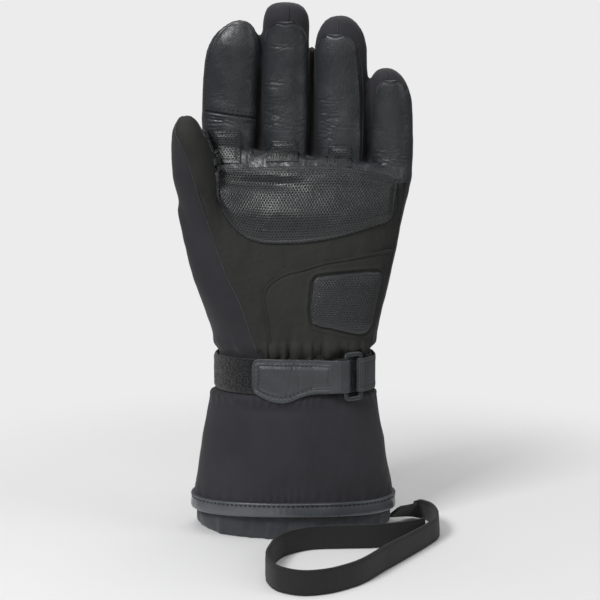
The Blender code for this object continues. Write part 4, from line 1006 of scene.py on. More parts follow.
def line_on_front(line, lift):
    """Points and normals along a line of (x, z) on the front, lifted."""
    x, z = line[:, 0], line[:, 1]
    normal = front_normals(x, z)
    return np.stack([x, hand_front(x, z), z], axis=1) + normal * lift, normal


# %% [markdown]
# ## The palm: matte leather, heel and grips
# Matte leather covers the palm with the ball of the thumb, and a second sheet of it covers the thumb.
# The heel panel lies on it with a double seam. Two padded grips with punched holes lie on top.

# %% Matte leather of thumb and palm
THUMB_SEAM = front_line(np.concatenate([SUEDE_EDGE[1:-1, :2], THUMB_EDGE[2:, :2]]))
HEEL_SEAM = front_line(np.vstack([HEEL_EDGE[:13, :2], (0.592, 0.928)]))
SHORT_SEAM = front_line([(0.625, -0.235), (0.575, -0.215), (0.525, -0.180)], 30)


def gathers(points):
    """Pleats just over the strap: waves across whose phase wanders, fading upwards."""
    x, z = points[..., 0] / MM, points[..., 2]
    wave = np.sin(x / 1.5 + 1.6 * np.sin(x / 7)) + 0.7 * np.sin(x / 0.83 + 2)
    return 0.75 * MM * wave * (1 - ease(z, WRIST_Z + 14 * MM, WRIST_Z + 29 * MM))


LIGHT_SUEDE = thread_finish("seam_piping", seen(44, 45, 46), seen(72, 73, 74))


def make_suede():
    """The palm's sheet, which dives under the grip and carries a short seam, then the thumb's sheet."""
    points = row_grid(SUEDE_EDGE, palm_place, 190, 140)
    roll = rim(points, 1.3 * MM, ("bottom", "top"))[0]
    lift = (1.25 * roll - 0.35) * MM + 0.22 * MM * ripple(points, 15 * MM, 31) * roll
    lift += 0.12 * MM * ripple(points, 5 * MM, 32) * roll
    lift += gathers(points)
    across = (points[..., 0] - HAND_SHIFT) / (HAND_WIDTH / 2)
    low, high = np.moveaxis(read_table(PATCH_EDGE, across), -1, 0)
    height = (points[..., 2] - WRIST_Z) / PALM_LENGTH
    under = ease(np.minimum(height - low, high - height), 0.02, 0.06) * (np.abs(across) < 0.84)
    lift -= 1.7 * MM * under
    line = to_line(points, SHORT_SEAM)
    lift += 0.55 * MM * bump_at(line, 0, 0.8 * MM) - 0.3 * MM * bump_at(line, 1.6 * MM, 0.5 * MM)
    made = points + front_normals(points[..., 0], points[..., 2]) * lift[..., None]
    dress(grid_piece("palm_suede", made), SUEDE, "matte_leather", "thumb_leather", "palm_leather")
    tip = row_grid(THUMB_EDGE, palm_place, 96, 50)
    roll = rim(tip, 1.3 * MM, ("bottom",))[0]
    lift = (1.25 * roll - 0.27) * MM + 0.22 * MM * ripple(tip, 15 * MM, 31) * roll
    tip = tip + front_normals(tip[..., 0], tip[..., 2]) * lift[..., None]
    dress(grid_piece("thumb_suede", tip), SUEDE, "matte_leather")
    path, normal = line_on_front(THUMB_SEAM, 0.55 * MM)
    piping("thumb_seam_piping", path + (0.0002, 0, 0), normal, 0.42 * MM, LIGHT_SUEDE, "matte_leather")


make_suede()


# %% Heel panel
def make_heel():
    """The heel's sheet, folded under along its seam and pressed down round its grip."""
    points = row_grid(HEEL_EDGE, palm_place, 170, 150)
    roll, near = rim(points, 1.0 * MM, ("bottom", "top"))
    away = to_line(points, HEEL_SEAM)
    share = np.clip(away / MM, 0, 1)
    edge = np.minimum(roll, np.sqrt(share * (2 - share)))
    lift = (1.15 * edge + 0.75) * MM
    lift += 0.40 * MM * bump_at(away, 1.1 * MM, 0.6 * MM) - 0.45 * MM * bump_at(away, 2.4 * MM, 0.45 * MM)
    lift += 0.20 * MM * ripple(points, 17 * MM, 41) + 0.10 * MM * ripple(points, 5 * MM, 42)
    across = np.linspace(HEEL_PATCH_EDGE[0, 0], HEEL_PATCH_EDGE[-1, 0], 60)
    bottom, top = read_table(HEEL_PATCH_EDGE, across).T
    around = np.concatenate([across, across[::-1], across[:1]])
    heights = np.concatenate([bottom, top[::-1], bottom[:1]])
    grip = to_line(points, np.stack(palm_place(around, heights), axis=1))
    lift += 0.5 * MM * (bump_at(grip, 1.9 * MM, 0.9 * MM) - bump_at(grip, 0.4 * MM, 0.7 * MM))
    lift += gathers(points)
    lift = np.where(near < 0.2 * MM, -0.2 * MM, lift)
    made = lifted(points, lift)
    dress(grid_piece("heel_panel_leather", made), SUEDE, "matte_leather", "heel_panel")
    path, normal = line_on_front(HEEL_SEAM, 1.75 * MM)
    sew(path + (0.0010, 0, -0.0008), normal, "dark", 2.2 * MM, 1.5 * MM, 0.18 * MM)


make_heel()


# %% Padded grips
def hole_map(points):
    """The map of a grip: u along the rows of holes and v up, so that the rows bend with the pad."""
    left, right, bottom, top = edge_distances(points)
    u = left - (left + right)[:, :1] / 2
    tall = np.mean(bottom[-1])
    share = bottom / np.maximum(bottom + top, 1e-6)
    v = share * tall * 0.6 + (points[..., 2] - points[..., 2].mean()) * 0.4
    return np.stack([np.repeat(u.mean(axis=0)[None], len(u), 0), v], axis=-1)


def hole_dips(uv, across, along, edge, clear):
    """Dips where the finish draws the holes."""
    row = uv[..., 1] / along
    shift = np.where((row * 0.5) % 1 > 0.5, 0.5, 0.0)
    du = ((uv[..., 0] / across + shift) % 1 - 0.5) * across
    dv = (row % 1 - 0.5) * along
    return bump_at(np.hypot(du, dv), 0, 0.42 * MM) * ease(edge, clear, clear + 0.8 * MM)


def make_palm_grip():
    """The large pad, with a fold at its upper left, a swell in the middle and a dent at its right."""
    points = column_grid(PATCH_EDGE, palm_place, 150, 330)
    roll, near = rim(points, 2.0 * MM)
    x, z = points[..., 0] / MM, (points[..., 2] - WRIST_Z) / PALM_LENGTH
    lift = (2.7 * roll - 0.2) * MM + 2.2 * MM * ease(near, 1.5 * MM, 8 * MM)
    fold = bump_at(z, 0.895 - 0.0004 * (x + 40), 0.030) * ease(x, -50, -42) * (1 - ease(x, -16, 12))
    lift -= 4.2 * MM * fold * ease(near, 1 * MM, 5 * MM)
    lift += 2.6 * MM * bump_at(z, 0.750, 0.060) * bump_at(x, -3, 40) * ease(near, 1 * MM, 8 * MM)
    lift -= 0.9 * MM * bump_at(z, 0.86, 0.030) * bump_at(x, 28, 26) * ease(near, 1 * MM, 5 * MM)
    lift += 0.35 * MM * ripple(points, 18 * MM, 51) * ease(near, 1 * MM, 5 * MM)
    lift -= 0.35 * MM * bump_at(near, 2.6 * MM, 0.35 * MM)
    uv = hole_map(points)
    lift -= 0.30 * MM * hole_dips(uv, *HOLES, near, CLEAR)
    made = lifted(points, lift)
    piece = grid_piece("palm_grip", made, uv=uv, marks={"edge": near})
    dress(piece, GRIP, "grip_leather", "palm_patch")
    sew_rim(made, 2.6 * MM, "left right bottom", "dark", 2.5 * MM, 1.7 * MM, 0.26 * MM)
    sew_rim(made, 1.5 * MM, "top", "light", 2.6 * MM, 1.7 * MM, 0.24 * MM)


def make_heel_grip():
    """The small pad on the heel of the hand."""
    points = column_grid(HEEL_PATCH_EDGE, palm_place, 120, 120)
    roll, near = rim(points, 1.5 * MM)
    lift = (2.0 * roll + 0.9) * MM + 0.7 * MM * ease(near, 1 * MM, 8 * MM)
    lift += 0.18 * MM * ripple(points, 12 * MM, 61)
    uv = hole_map(points)
    lift -= 0.28 * MM * hole_dips(uv, *HOLES, near, TAB_CLEAR)
    made = lifted(points, lift)
    piece = grid_piece("heel_grip", made, uv=uv, marks={"edge": near})
    dress(piece, GRIP, "grip_leather", "heel_patch")


make_palm_grip()
make_heel_grip()

# %% [markdown]
# ## The fingers' leather
# Goatskin covers the front of each finger. It is sewn into the shell cloth at both sides, ends under
# the fingertip in a turned edge, and creases crosswise where the finger bends. A crease is a short
# groove with raised lips, and tables say where the zones of creases are.

# %% Creased leather
# along, left, right; where the round end starts and stops, and its power
LEATHER_EDGES = {
    "index_base": (np.array([
        (-0.12, -0.66, 0.80), (0.00, -0.80, 0.86), (0.10, -0.86, 0.90), (0.262, -0.87, 0.93),
    ]), None),
    "index_tip": (np.array([
        (0.262, -0.87, 0.93), (0.45, -0.86, 0.94), (0.60, -0.84, 0.93),
        (0.75, -0.80, 0.92), (1.00, -0.80, 0.84),
    ]), (0.66, 0.975, 2.3)),
    "middle": (np.array([
        (-0.12, -0.80, 0.80), (0.05, -0.83, 0.82), (0.15, -0.86, 0.85),
        (0.45, -0.87, 0.87), (0.70, -0.86, 0.86),
        (1.00, -0.84, 0.84),
    ]), (0.74, 0.868, 2.4)),
    "ring": (np.array([
        (-0.12, -0.84, 0.68), (0.10, -0.86, 0.70), (0.35, -0.87, 0.72),
        (0.60, -0.88, 0.62), (0.75, -0.90, 0.54),
        (1.00, -0.92, 0.50),
    ]), (0.76, 0.866, 2.4)),
    "little": (np.array([
        (-0.16, -0.80, 0.80), (0.10, -0.84, 0.84), (0.35, -0.84, 0.84),
        (0.60, -0.76, 0.80), (0.80, -0.62, 0.80),
        (1.00, -0.58, 0.80),
    ]), (0.74, 0.870, 2.4)),
}
# across from, to, along from, to, count, depth in millimetres
CREASES = {
    "index_base": ((-0.8, 0.6, 0.17, 0.24, 8, 0.20), (-0.8, -0.5, -0.05, 0.15, 6, 0.2)),
    "index_tip": ((-0.8, 0.5, 0.33, 0.41, 14, 0.09), (-0.6, 0.6, 0.45, 0.75, 8, 0.04)),
    "middle": ((-0.85, -0.3, 0.15, 0.50, 26, 0.15), (-0.6, 0.6, 0.10, 0.22, 10, 0.09),
               (-0.3, 0.4, 0.68, 0.73, 3, 0.2)),
    "ring": ((-0.85, -0.3, 0.15, 0.44, 22, 0.13), (-0.6, 0.4, 0.08, 0.24, 10, 0.10)),
    "little": ((-0.7, 0.3, -0.04, 0.14, 18, 0.34), (-0.8, 0.2, 0.16, 0.40, 8, 0.10)),
}


def creased(u, v, zones, half, length, seed):
    """Lift of random short grooves: each is a bell across its line and along it, with lips at its sides."""
    rng = np.random.default_rng(seed)
    lift = np.zeros(u.shape)
    for u0, u1, v0, v1, count, depth in zones:
        for _ in range(count):
            cu, cv = rng.uniform(u0, u1), rng.uniform(v0, v1)
            reach, tilt, wide = rng.uniform(2.5, 6.5) * MM, rng.normal(0, 0.22), rng.uniform(0.35, 0.65) * MM
            du, dv = (u - cu) * half, (v - cv) * length
            off = dv - tilt * du - 0.06 * du**2 / (6 * MM)
            window = np.exp(-((du / reach) ** 2))
            lift += depth * MM * window * (0.55 * bump_at(off, wide * 1.7, wide) - bump_at(off, 0, wide))
    return lift


def finger_grid(finger, rows, up, across, cap=None, tilt=0.0):
    """A grid on a finger's front between two edges, which a cap draws together: (1 - p^n)^(1/n)."""
    share = np.linspace(0, 1, up)
    stop = cap[1] if cap else rows[-1, 0]
    first = rows[0, 0] + (stop - rows[0, 0]) * (1 - (1 - share) ** 1.6 if cap else share)
    left, right = straight_rows(rows, first).T
    if cap:
        past = np.clip((first - cap[0]) / (cap[1] - cap[0]), 0, 0.97)
        half = (right - left) / 2 * (1 - past ** cap[2]) ** (1 / cap[2])
        left, right = (left + right) / 2 - half, (left + right) / 2 + half
    share = np.linspace(0, 1, across)[None]
    sides = unturned(turned(left)[:, None] * (1 - share) + turned(right)[:, None] * share)
    along = np.repeat(first[:, None], across, axis=1)
    middle = finger_frame(finger, along)[0]
    x = middle + sides * finger.width * HAND_WIDTH / 2
    z = finger_base(finger) + (along - tilt * sides * bump_at(along, 0.262, 0.30)) * finger.length
    return np.stack([x, hand_front(x, z), z], axis=-1), sides, along


def make_finger_leather(key, seed, top_edge):
    """One finger's leather, creased, with an edge turned over at its cap as thick as top_edge says."""
    finger = BY_NAME[key.split("_")[0]]
    rows, cap = LEATHER_EDGES[key]
    tall = ((cap[1] if cap else rows[-1, 0]) - rows[0, 0]) * finger.length
    tilt = 0.032 if finger.name == "index" else 0.0
    points, u, v = finger_grid(finger, rows, int(tall / (0.42 * MM)), 100, cap, tilt)
    roll, near = rim(points, 1.2 * MM, () if key == "index_tip" else ("bottom",))
    high = edge_distances(points)[3]
    lift = (1.25 * roll - 0.40) * MM
    if cap:
        near_cap = np.minimum(near, high)
        edge = 0.55 * bump_at(near_cap, 1.1 * MM, 0.6 * MM) - 0.25 * bump_at(near_cap, 2.5 * MM, 0.6 * MM)
        lift += top_edge * MM * edge * ease(v, cap[0] - 0.03, cap[0] + 0.04)
    lift += creased(u, v, CREASES[key], finger.width * HAND_WIDTH / 2, finger.length, seed) * roll
    lift += 0.30 * MM * ripple(points, 16 * MM, seed + 1) * roll
    lift += 0.05 * MM * ripple(points, 4 * MM, seed + 2)
    if key == "index_base":
        lift += 0.35 * MM * bump_at(high, 1.4 * MM, 0.7 * MM)
    made = lifted(points, lift)
    dress(grid_piece(f"{key}_leather_skin", made), LEATHER, "smooth_leather", f"{key}_leather")
    return made


# across, bottom, top of the leather under the finger bases
YOKE_EDGE = np.array([
    (-0.850, 0.940, 0.990), (-0.735, 0.930, 1.050), (-0.560, 0.930, 1.030), (-0.484, 0.930, 1.008),
    (-0.410, 0.930, 1.020), (-0.210, 0.930, 1.035), (-0.050, 0.930, 1.010), (0.028, 0.930, 0.990),
    (0.105, 0.930, 1.000), (0.310, 0.930, 1.015), (0.450, 0.925, 0.990), (0.523, 0.920, 0.971),
    (0.600, 0.915, 0.980), (0.783, 0.900, 0.990), (0.915, 0.905, 0.955),
])


def make_yoke():
    """Leather that joins the fingers' leather over the webs between them, down to the palm's grip."""
    points = column_grid(YOKE_EDGE, palm_place, 48, 260)
    roll = rim(points, 1.4 * MM, ("bottom",))[0]
    low, high = edge_distances(points)[2:]
    lift = ((0.75 + 1.5 * high / (low + high + 1e-6)) * roll - 0.35) * MM
    lift += 0.35 * MM * ripple(points, 9 * MM, 78) * roll + 0.10 * MM * ripple(points, 3 * MM, 79) * roll
    made = lifted(points, lift)
    dress(grid_piece("finger_base_leather", made), LEATHER, "smooth_leather")


make_yoke()
BY_NAME = {finger.name: finger for finger in FINGERS}
make_finger_leather("index_base", 71, 0.0)
INDEX_TIP = make_finger_leather("index_tip", 72, 0.3)
for leather, leather_seed in (("middle", 73), ("ring", 74), ("little", 75)):
    make_finger_leather(leather, leather_seed, 1.0)
sew_rim(INDEX_TIP, 1.5 * MM, "left bottom", "dark", 2.5 * MM, 1.7 * MM, 0.26 * MM)
sew_rim(INDEX_TIP, 3.4 * MM, "bottom", "dark", 2.5 * MM, 1.7 * MM, 0.26 * MM)


# %% [markdown]
# ## Tabs at the finger bases
# Three small perforated tabs protect the finger bases. They are sewn round with a double line of
# stitches.

# %% Tabs
# along, left, right
TAB_EDGES = {
    "index": np.array([(-0.135, -0.52, 0.46), (0.00, -0.54, 0.43), (0.135, -0.52, 0.40)]),
    "middle": np.array([
        (-0.055, -0.80, 0.54), (0.00, -0.72, 0.50), (0.05, -0.58, 0.47), (0.095, -0.52, 0.45),
    ]),
    "ring": np.array([(-0.050, -0.56, 0.40), (0.03, -0.48, 0.37), (0.110, -0.42, 0.34)]),
}


def make_tab(name, seed):
    """One perforated tab over its finger's base."""
    points = finger_grid(BY_NAME[name], TAB_EDGES[name], 60, 66)[0]
    roll, near = rim(points, 0.9 * MM)
    lift = (1.2 * roll + 0.85) * MM + 0.12 * MM * ripple(points, 7 * MM, seed)
    lift += 0.5 * MM * ease(near, 1.5 * MM, 4 * MM)
    uv = hole_map(points)
    lift -= 0.2 * MM * hole_dips(uv, *TAB_HOLES, near, TAB_CLEAR)
    made = lifted(points, lift)
    piece = grid_piece(f"{name}_tab_skin", made, uv=uv, marks={"edge": near})
    dress(piece, TAB_GRIP, "grip_leather", f"{name}_tab")
    for inset in (1.1 * MM, 2.0 * MM):
        sew_rim(made, inset, "left right top", "dark", 2.1 * MM, 1.4 * MM, 0.22 * MM)


for tab_name, tab_seed in (("index", 81), ("middle", 82), ("ring", 83)):
    make_tab(tab_name, tab_seed)

# %% [markdown]
# ## Seams of the shell cloth
# The fingertip caps are closed by a middle seam, and a long seam runs down the little finger's side.
# Each is a thin cord along the front.

# %% Shell seams
def finger_line(finger, rows, count=60):
    """A line on a finger through (along, across) shares, as (x, z)."""
    rows = np.array(rows, float)
    fine = np.linspace(rows[0, 0], rows[-1, 0], count)
    across = read_table(rows, fine)[:, 0]
    x = finger_frame(finger, fine)[0] + across * finger.width * HAND_WIDTH / 2
    return np.stack([x, finger_base(finger) + fine * finger.length], axis=1)


def front_seam(name, line, radius=0.28 * MM):
    path, normal = line_on_front(line, 0.15 * MM)
    piping(name, path, normal, radius, LIGHT_SUEDE, "softshell", 0.3)


# (along, across) shares on the finger that the seam is named after
FINGER_SEAMS = {
    "middle_tip_seam": [(0.872, 0.10), (0.93, 0.10), (0.975, 0.09)],
    "ring_tip_seam": [(0.872, -0.12), (0.93, -0.10), (0.970, -0.08)],
    "little_tip_seam": [(0.875, -0.08), (0.93, -0.05), (0.965, -0.03)],
    "ring_side_seam": [(0.00, 0.76), (0.3, 0.80), (0.6, 0.76), (0.80, 0.60)],
    "little_side_seam": [(-0.10, 0.82), (0.25, 0.88), (0.6, 0.78), (0.85, 0.44)],
}
for seam, seam_rows in FINGER_SEAMS.items():
    front_seam(seam, finger_line(BY_NAME[seam.split("_")[0]], seam_rows))
RIGHT_SIDE = [(0.20, 0.955), (0.45, 0.960), (0.70, 0.962), (0.93, 0.955)]
front_seam("right_side_seam", front_line(RIGHT_SIDE), 0.3 * MM)


# %% [markdown]
# ## The gauntlet and its hem
# The gauntlet is a flared tube of shell cloth. It bulges a little under the strap, carries soft folds
# there, and sags at both sides. Coated tape binds its edge, with a raised line and a row of stitches
# over it.

# %% Gauntlet
def gauntlet_radius(turn, drop):
    """The gauntlet's outline at a share of the way down from the strap, by the spread from wrist to hem."""
    spread = read_table(FLARE, drop)[..., 0]
    wrist = WRIST_WIDTH / 2
    half = wrist + spread * (HEM_WIDTH / 2 - wrist)
    depth = WRIST_DEEP + spread * (HEM_DEPTH / 2 - WRIST_DEEP)
    return superellipse(turn, half, depth, depth, PALM_POWER - 0.2 * spread)


def gauntlet_point(turn, drop, out=0.0):
    radius = gauntlet_radius(turn, drop) + out
    sag = 1.6 * MM * np.clip(drop, 0, 1) ** 2 * np.abs(np.cos(turn)) ** 3
    z = FLARE_Z - drop * FLARE_HEIGHT - sag
    return np.stack([radius * np.cos(turn), radius * np.sin(turn), z], axis=-1)


# across in millimetres, height in millimetres, width, tall, depth, slant
FOLDS = ((-45, 80, 9, 3.2, -1.6, 0.25), (-38, 83, 12, 2.6, 1.1, 0.2), (-14, 78, 14, 3.5, -1.5, -0.05),
         (-10, 83, 15, 2.5, 0.9, 0.0), (24, 79, 9, 4.0, -0.7, -0.2), (38, 60, 5, 22, 0.6, 0.0),
         (47, 34, 4, 12, 0.8, 0.0), (40, 36, 3, 12, -0.7, 0.0), (-30, 50, 16, 16, 0.5, 0.2),
         (12, 38, 20, 14, -0.4, 0))


def make_gauntlet():
    """The flared tube with soft folds, puckers over its hem and a plain inside."""
    turn = np.linspace(0, 2 * math.pi, 264, endpoint=False)
    drop = np.concatenate([[-0.10, -0.06], np.linspace(-0.02, 0.12, 30), np.linspace(0.125, 0.985, 100)])
    points = gauntlet_point(turn[None], drop[:, None])[::-1]
    normal = normals_of(points, True)
    x, z = points[..., 0] / MM, points[..., 2] / MM
    front = ease(-points[..., 1], 0, 8 * MM)
    lift = np.zeros(x.shape)
    for across, height, wide, tall, depth, slant in FOLDS:
        fold = bump_at(x, across, wide) * bump_at(z - slant * (x - across), height, tall)
        lift += depth * MM * front * fold
    lift += 0.55 * MM * ripple(points, 30 * MM, 91) + 0.16 * MM * ripple(points, 9 * MM, 92)
    pucker = bump_at(z, 24, 5) * 0.28 + bump_at(z, 84, 4) * 0.4
    bearing = np.arctan2(points[..., 1], points[..., 0])
    lift += MM * pucker * np.sin(bearing * 46 + 3 * ripple(points, 20 * MM, 93))
    lift *= 1 - ease(z, 86.5, 88.5)
    outer = points + normal * lift[..., None]
    rows = [0, 30, 70, 100, -1]
    inner = points[rows] - normal[rows] * 2.2 * MM
    made = grid_piece("gauntlet_cloth", np.concatenate([outer, inner[::-1]]), wrap=True, loop=True)
    dress(made, SOFTSHELL, "softshell", "gauntlet")


make_gauntlet()


# %% Hem tape
# out from the cloth, up from the edge
HEM_SECTION = np.array([
    (0.3, 8.9), (1.5, 8.9), (2.15, 8.7), (2.30, 8.25), (2.15, 7.8), (1.55, 7.45), (1.45, 7.0), (1.62, 5.8),
    (1.72, 4.2), (1.78, 2.8), (1.70, 1.7), (1.45, 0.8), (0.9, 0.25), (0.0, 0.0), (-1.6, 0.0), (-2.9, 0.2),
    (-3.3, 0.8), (-3.3, 4.0), (-3.2, 7.0), (-2.9, 8.6),
]) * MM


def make_hem():
    """The tape's section, out from the cloth and up from the edge, swept round the gauntlet's outline."""
    fine, rows = np.linspace(0, len(HEM_SECTION) - 1, 64), np.arange(len(HEM_SECTION))
    out, up = (np.interp(fine, rows, column) for column in HEM_SECTION.T)
    turn = np.linspace(0, 2 * math.pi, 300, endpoint=False)
    drop = (FLARE_HEIGHT - up) / FLARE_HEIGHT
    points = gauntlet_point(turn[None], drop[:, None], out[:, None])
    wave = 0.22 * MM * ripple(points, 18 * MM, 101)
    wave = wave + 0.07 * MM * np.sin(turn * 62)[None] * bump_at(up, 5 * MM, 3 * MM)[:, None]
    flat = points * (1, 1, 0)
    points = points + flat / np.linalg.norm(flat, axis=-1, keepdims=True) * wave[..., None]
    made = grid_piece("hem_tape", points[::-1], wrap=True, loop=True)
    dress(made, TAPE, "hem_tape", "hem_binding")
    line = np.linspace(0, 2 * math.pi, 400)
    row = gauntlet_point(line, np.full(400, (FLARE_HEIGHT - 6.9 * MM) / FLARE_HEIGHT), 1.62 * MM)
    outward = row * (1, 1, 0) / np.linalg.norm(row[:, :2], axis=1)[:, None]
    sew(row, outward, "dark", 2.9 * MM, 2.0 * MM, 0.28 * MM)


make_hem()

# %% [markdown]
# ## The inner cuff
# Soft cloth is gathered by elastic and hangs out under the hem. Its gathers are deepest at the free
# edge, some wide and some narrow, which a sum of waves with different counts gives.

# %% Inner cuff
# height, fullness, depth of the gathers
CUFF = np.array([
    (0.00, 0.00, 0.85), (0.18, 0.70, 1.00), (0.40, 1.00, 0.90), (0.75, 1.00, 0.55), (1.00, 0.95, 0.30),
    (2.60, 0.80, 0.0),
])
# half width and half depth at the free edge, and where the cuff is fullest
CUFF_EDGE, CUFF_FULL = (0.0555, 0.0345), (0.0598, 0.0312)


def make_cuff():
    """The gathered tube, from its free edge on the floor up into the gauntlet."""
    turn = np.linspace(0, 2 * math.pi, 300, endpoint=False)
    up = np.concatenate([np.linspace(0, 1.1, 60), np.linspace(1.15, 2.6, 14)])
    row = read_table(CUFF, up)
    half, depth = (edge + row[:, 0] * (full - edge) for edge, full in zip(CUFF_EDGE, CUFF_FULL))
    inside = ease(up, 1.1, 2.6)[:, None]
    radius = superellipse(turn[None], half[:, None], depth[:, None], depth[:, None], 2.12)
    drop = np.clip((FLARE_Z - up[:, None] * HEM_Z) / FLARE_HEIGHT, 0, 1)
    narrow = gauntlet_radius(turn[None], drop) - 4.2 * MM
    radius = radius * (1 - inside) + narrow * inside
    wave = np.cos(10 * turn + 0.6) + 0.8 * np.cos(17 * turn + 1.0) + 0.6 * np.cos(29 * turn + 2.0)
    wave = wave + 0.35 * np.cos(47 * turn)
    radius = radius + 0.55 * MM * row[:, 1:2] * wave[None]
    z = np.repeat(up[:, None] * HEM_Z, 300, axis=1)
    outer = np.stack([radius * np.cos(turn), radius * np.sin(turn), z], axis=-1)
    lift = 0.30 * MM * ripple(outer, 9 * MM, 111) * ease(up, 0.02, 0.2)[:, None]
    outer = outer + normals_of(outer, True) * lift[..., None] * (1, 1, 0)
    flat = outer * (1, 1, 0)
    inner = (outer - flat / np.linalg.norm(flat, axis=-1, keepdims=True) * 2.3 * MM)[[0, 12, 30, 50, -1]]
    inner[..., 2] = np.maximum(inner[..., 2], 0.0)
    made = grid_piece("inner_cuff_cloth", np.concatenate([outer, inner[::-1]]), wrap=True, loop=True)
    dress(made, LINING, "lining_cloth", "inner_cuff")


make_cuff()

# %% [markdown]
# ## Straps
# A strap is a flat rounded section carried along a path: a front face with many points, so that it can
# hold stitches and dents, two round edges, and a plain back.

# %% The strap builder
def strap_points(path, outward, low, high, thickness, face=44, crown=0.0, relief=None):
    """Rings of a rounded flat section: face points up the front, then round the top edge, down the back."""
    round_edge = np.linspace(0, math.pi, 7)[1:-1]
    a = np.concatenate([np.linspace(-1, 1, face), np.ones(5), np.linspace(1, -1, 12), -np.ones(5)])
    b = np.concatenate([np.ones(face), np.cos(round_edge), -np.ones(12), -np.cos(round_edge)])
    swell = np.concatenate([np.zeros(face), np.sin(round_edge), np.zeros(12), -np.sin(round_edge)])
    middle, half = (low + high) / 2, (high - low) / 2
    z = middle[:, None] + a[None] * half[:, None] + swell[None] * thickness / 2
    out = b[None] * thickness / 2 + crown * (1 - a[None] ** 2) * (b[None] > 0.99)
    if relief is not None:
        out = out + relief * (np.arange(len(a)) < face)[None]
    rings = path[:, None] + outward[:, None] * out[..., None]
    rings[..., 2] = z
    gaps = np.concatenate([[0], np.cumsum(np.linalg.norm(np.diff(path, axis=0), axis=1))])
    v = np.concatenate([z - middle[:, None], (z - middle[:, None])[:, :1]], axis=1)
    return rings, np.stack([np.repeat(gaps[:, None], v.shape[1], axis=1), v], axis=-1)


def wrist_path(turn, out):
    """The glove's outline under the band at angles, pushed out."""
    radius = superellipse(turn, WRIST_WIDTH / 2, WRIST_DEEP, WRIST_DEEP, PALM_POWER)
    line = np.stack([radius * np.cos(turn), radius * np.sin(turn)], axis=-1)
    ahead = np.gradient(line, axis=0)
    normal = np.stack([ahead[:, 1], -ahead[:, 0]], axis=1)
    normal /= np.linalg.norm(normal, axis=1, keepdims=True)
    normal = np.where((normal * line).sum(axis=1, keepdims=True) < 0, -normal, normal)
    line = line + normal * np.reshape(out, (-1, 1))
    return np.column_stack([line, np.zeros(len(line))]), np.column_stack([normal, np.zeros(len(line))])


def make_band():
    """The pile band all the way round, with tufts pushed out at random."""
    turn = np.linspace(0, 2 * math.pi, 481)
    path, normal = wrist_path(turn, 1.25 * MM)
    path, normal = path[:-1], normal[:-1]
    low, high = np.full(480, BAND_Z + 0.4 * MM), np.full(480, BAND_Z + BAND_HEIGHT - 0.4 * MM)
    rings, uv = strap_points(path, normal, low, high, 1.5 * MM, face=44)
    rng = np.random.default_rng(7)
    a = np.linspace(-1, 1, 44)
    woven = np.minimum(ease(1 - np.abs(a), 0.05, 0.16), 1)[None]
    tuft = rng.uniform(0, 1, (480, 44)) ** 2 * 0.85 * MM * woven
    rim_line = 0.35 * MM * bump_at(np.abs(a), 0.93, 0.05)[None]
    rings[:, :44] += normal[:, None] * (tuft + rim_line)[..., None]
    made = grid_piece("wrist_band_pile", rings, uv=uv, wrap=True, loop=True)
    made.data.flip_normals()
    dress(made, PILE, "pile", "wrist_band")


make_band()

# %% [markdown]
# ## Pull tab, buckle and anchor
# The tab is leather, sewn round with two lines of thread, and narrows into a plain tongue that folds
# round the buckle's left bar. The buckle is a moulded ring, and a woven strap holds its right bar.

# %% Buckle frame
BUCKLE_LOW, BUCKLE_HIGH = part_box("buckle")
BUCKLE_MIDDLE = np.array(BUCKLE_LOW + BUCKLE_HIGH) / 2 - PLACE
WRIST_TURN = np.linspace(math.pi, 2 * math.pi, 2000)
ON_WRIST, WRIST_NORMAL = wrist_path(WRIST_TURN, 3.15 * MM)
LEVEL, OVER = 3.15 * MM, 8.4 * MM


def wrist_at(across, out):
    """Places on the front of the wrist at distances right of its middle, so far out, with normals."""
    k = np.clip(np.searchsorted(ON_WRIST[:, 0], across), 1, len(ON_WRIST) - 1)
    normal = WRIST_NORMAL[k]
    base = ON_WRIST[k] - normal * LEVEL
    return base + normal * np.reshape(out, (-1, 1)), normal


OUTWARD = wrist_at(np.array([BUCKLE_MIDDLE[0]]), 0.0)[1][0]
AHEAD = np.array([-OUTWARD[1], OUTWARD[0], 0.0])
BAR_GAP = 5.75 * MM
# half the width and half the depth of the ring's own section
BAR_WIDE, BAR_DEEP = 1.5 * MM, 1.1 * MM


def make_buckle():
    """A rounded rectangle with a rounded section, with its bars flattened a little."""
    t = np.linspace(0, 2 * math.pi, 160, endpoint=False)
    c, s = np.cos(t), np.sin(t)
    wide, tall = BAR_GAP, 13.5 * MM
    line = np.stack([wide * np.sign(c) * np.abs(c) ** 0.30, tall * np.sign(s) * np.abs(s) ** 0.30], axis=1)
    ahead = np.roll(line, -1, axis=0) - np.roll(line, 1, axis=0)
    side = np.stack([ahead[:, 1], -ahead[:, 0]], axis=1)
    side /= np.linalg.norm(side, axis=1, keepdims=True)
    w = np.linspace(0, 2 * math.pi, 24, endpoint=False)
    a = BAR_WIDE * np.sign(np.cos(w)) * np.abs(np.cos(w)) ** 0.6
    b = BAR_DEEP * np.sign(np.sin(w)) * np.abs(np.sin(w)) ** 0.6
    flat = line[:, None] + side[:, None] * a[None, :, None]
    middle = BUCKLE_MIDDLE * (1, 1, 0) + (0, 0, BAND_Z + BAND_HEIGHT / 2)
    points = middle + flat[..., :1] * AHEAD + flat[..., 1:] * np.array([0, 0, 1]) + b[None, :, None] * OUTWARD
    made = grid_piece("strap_buckle", points, wrap=True, loop=True)
    made.data.flip_normals()
    dress(made, PLASTIC, "buckle_plastic", "buckle")


make_buckle()


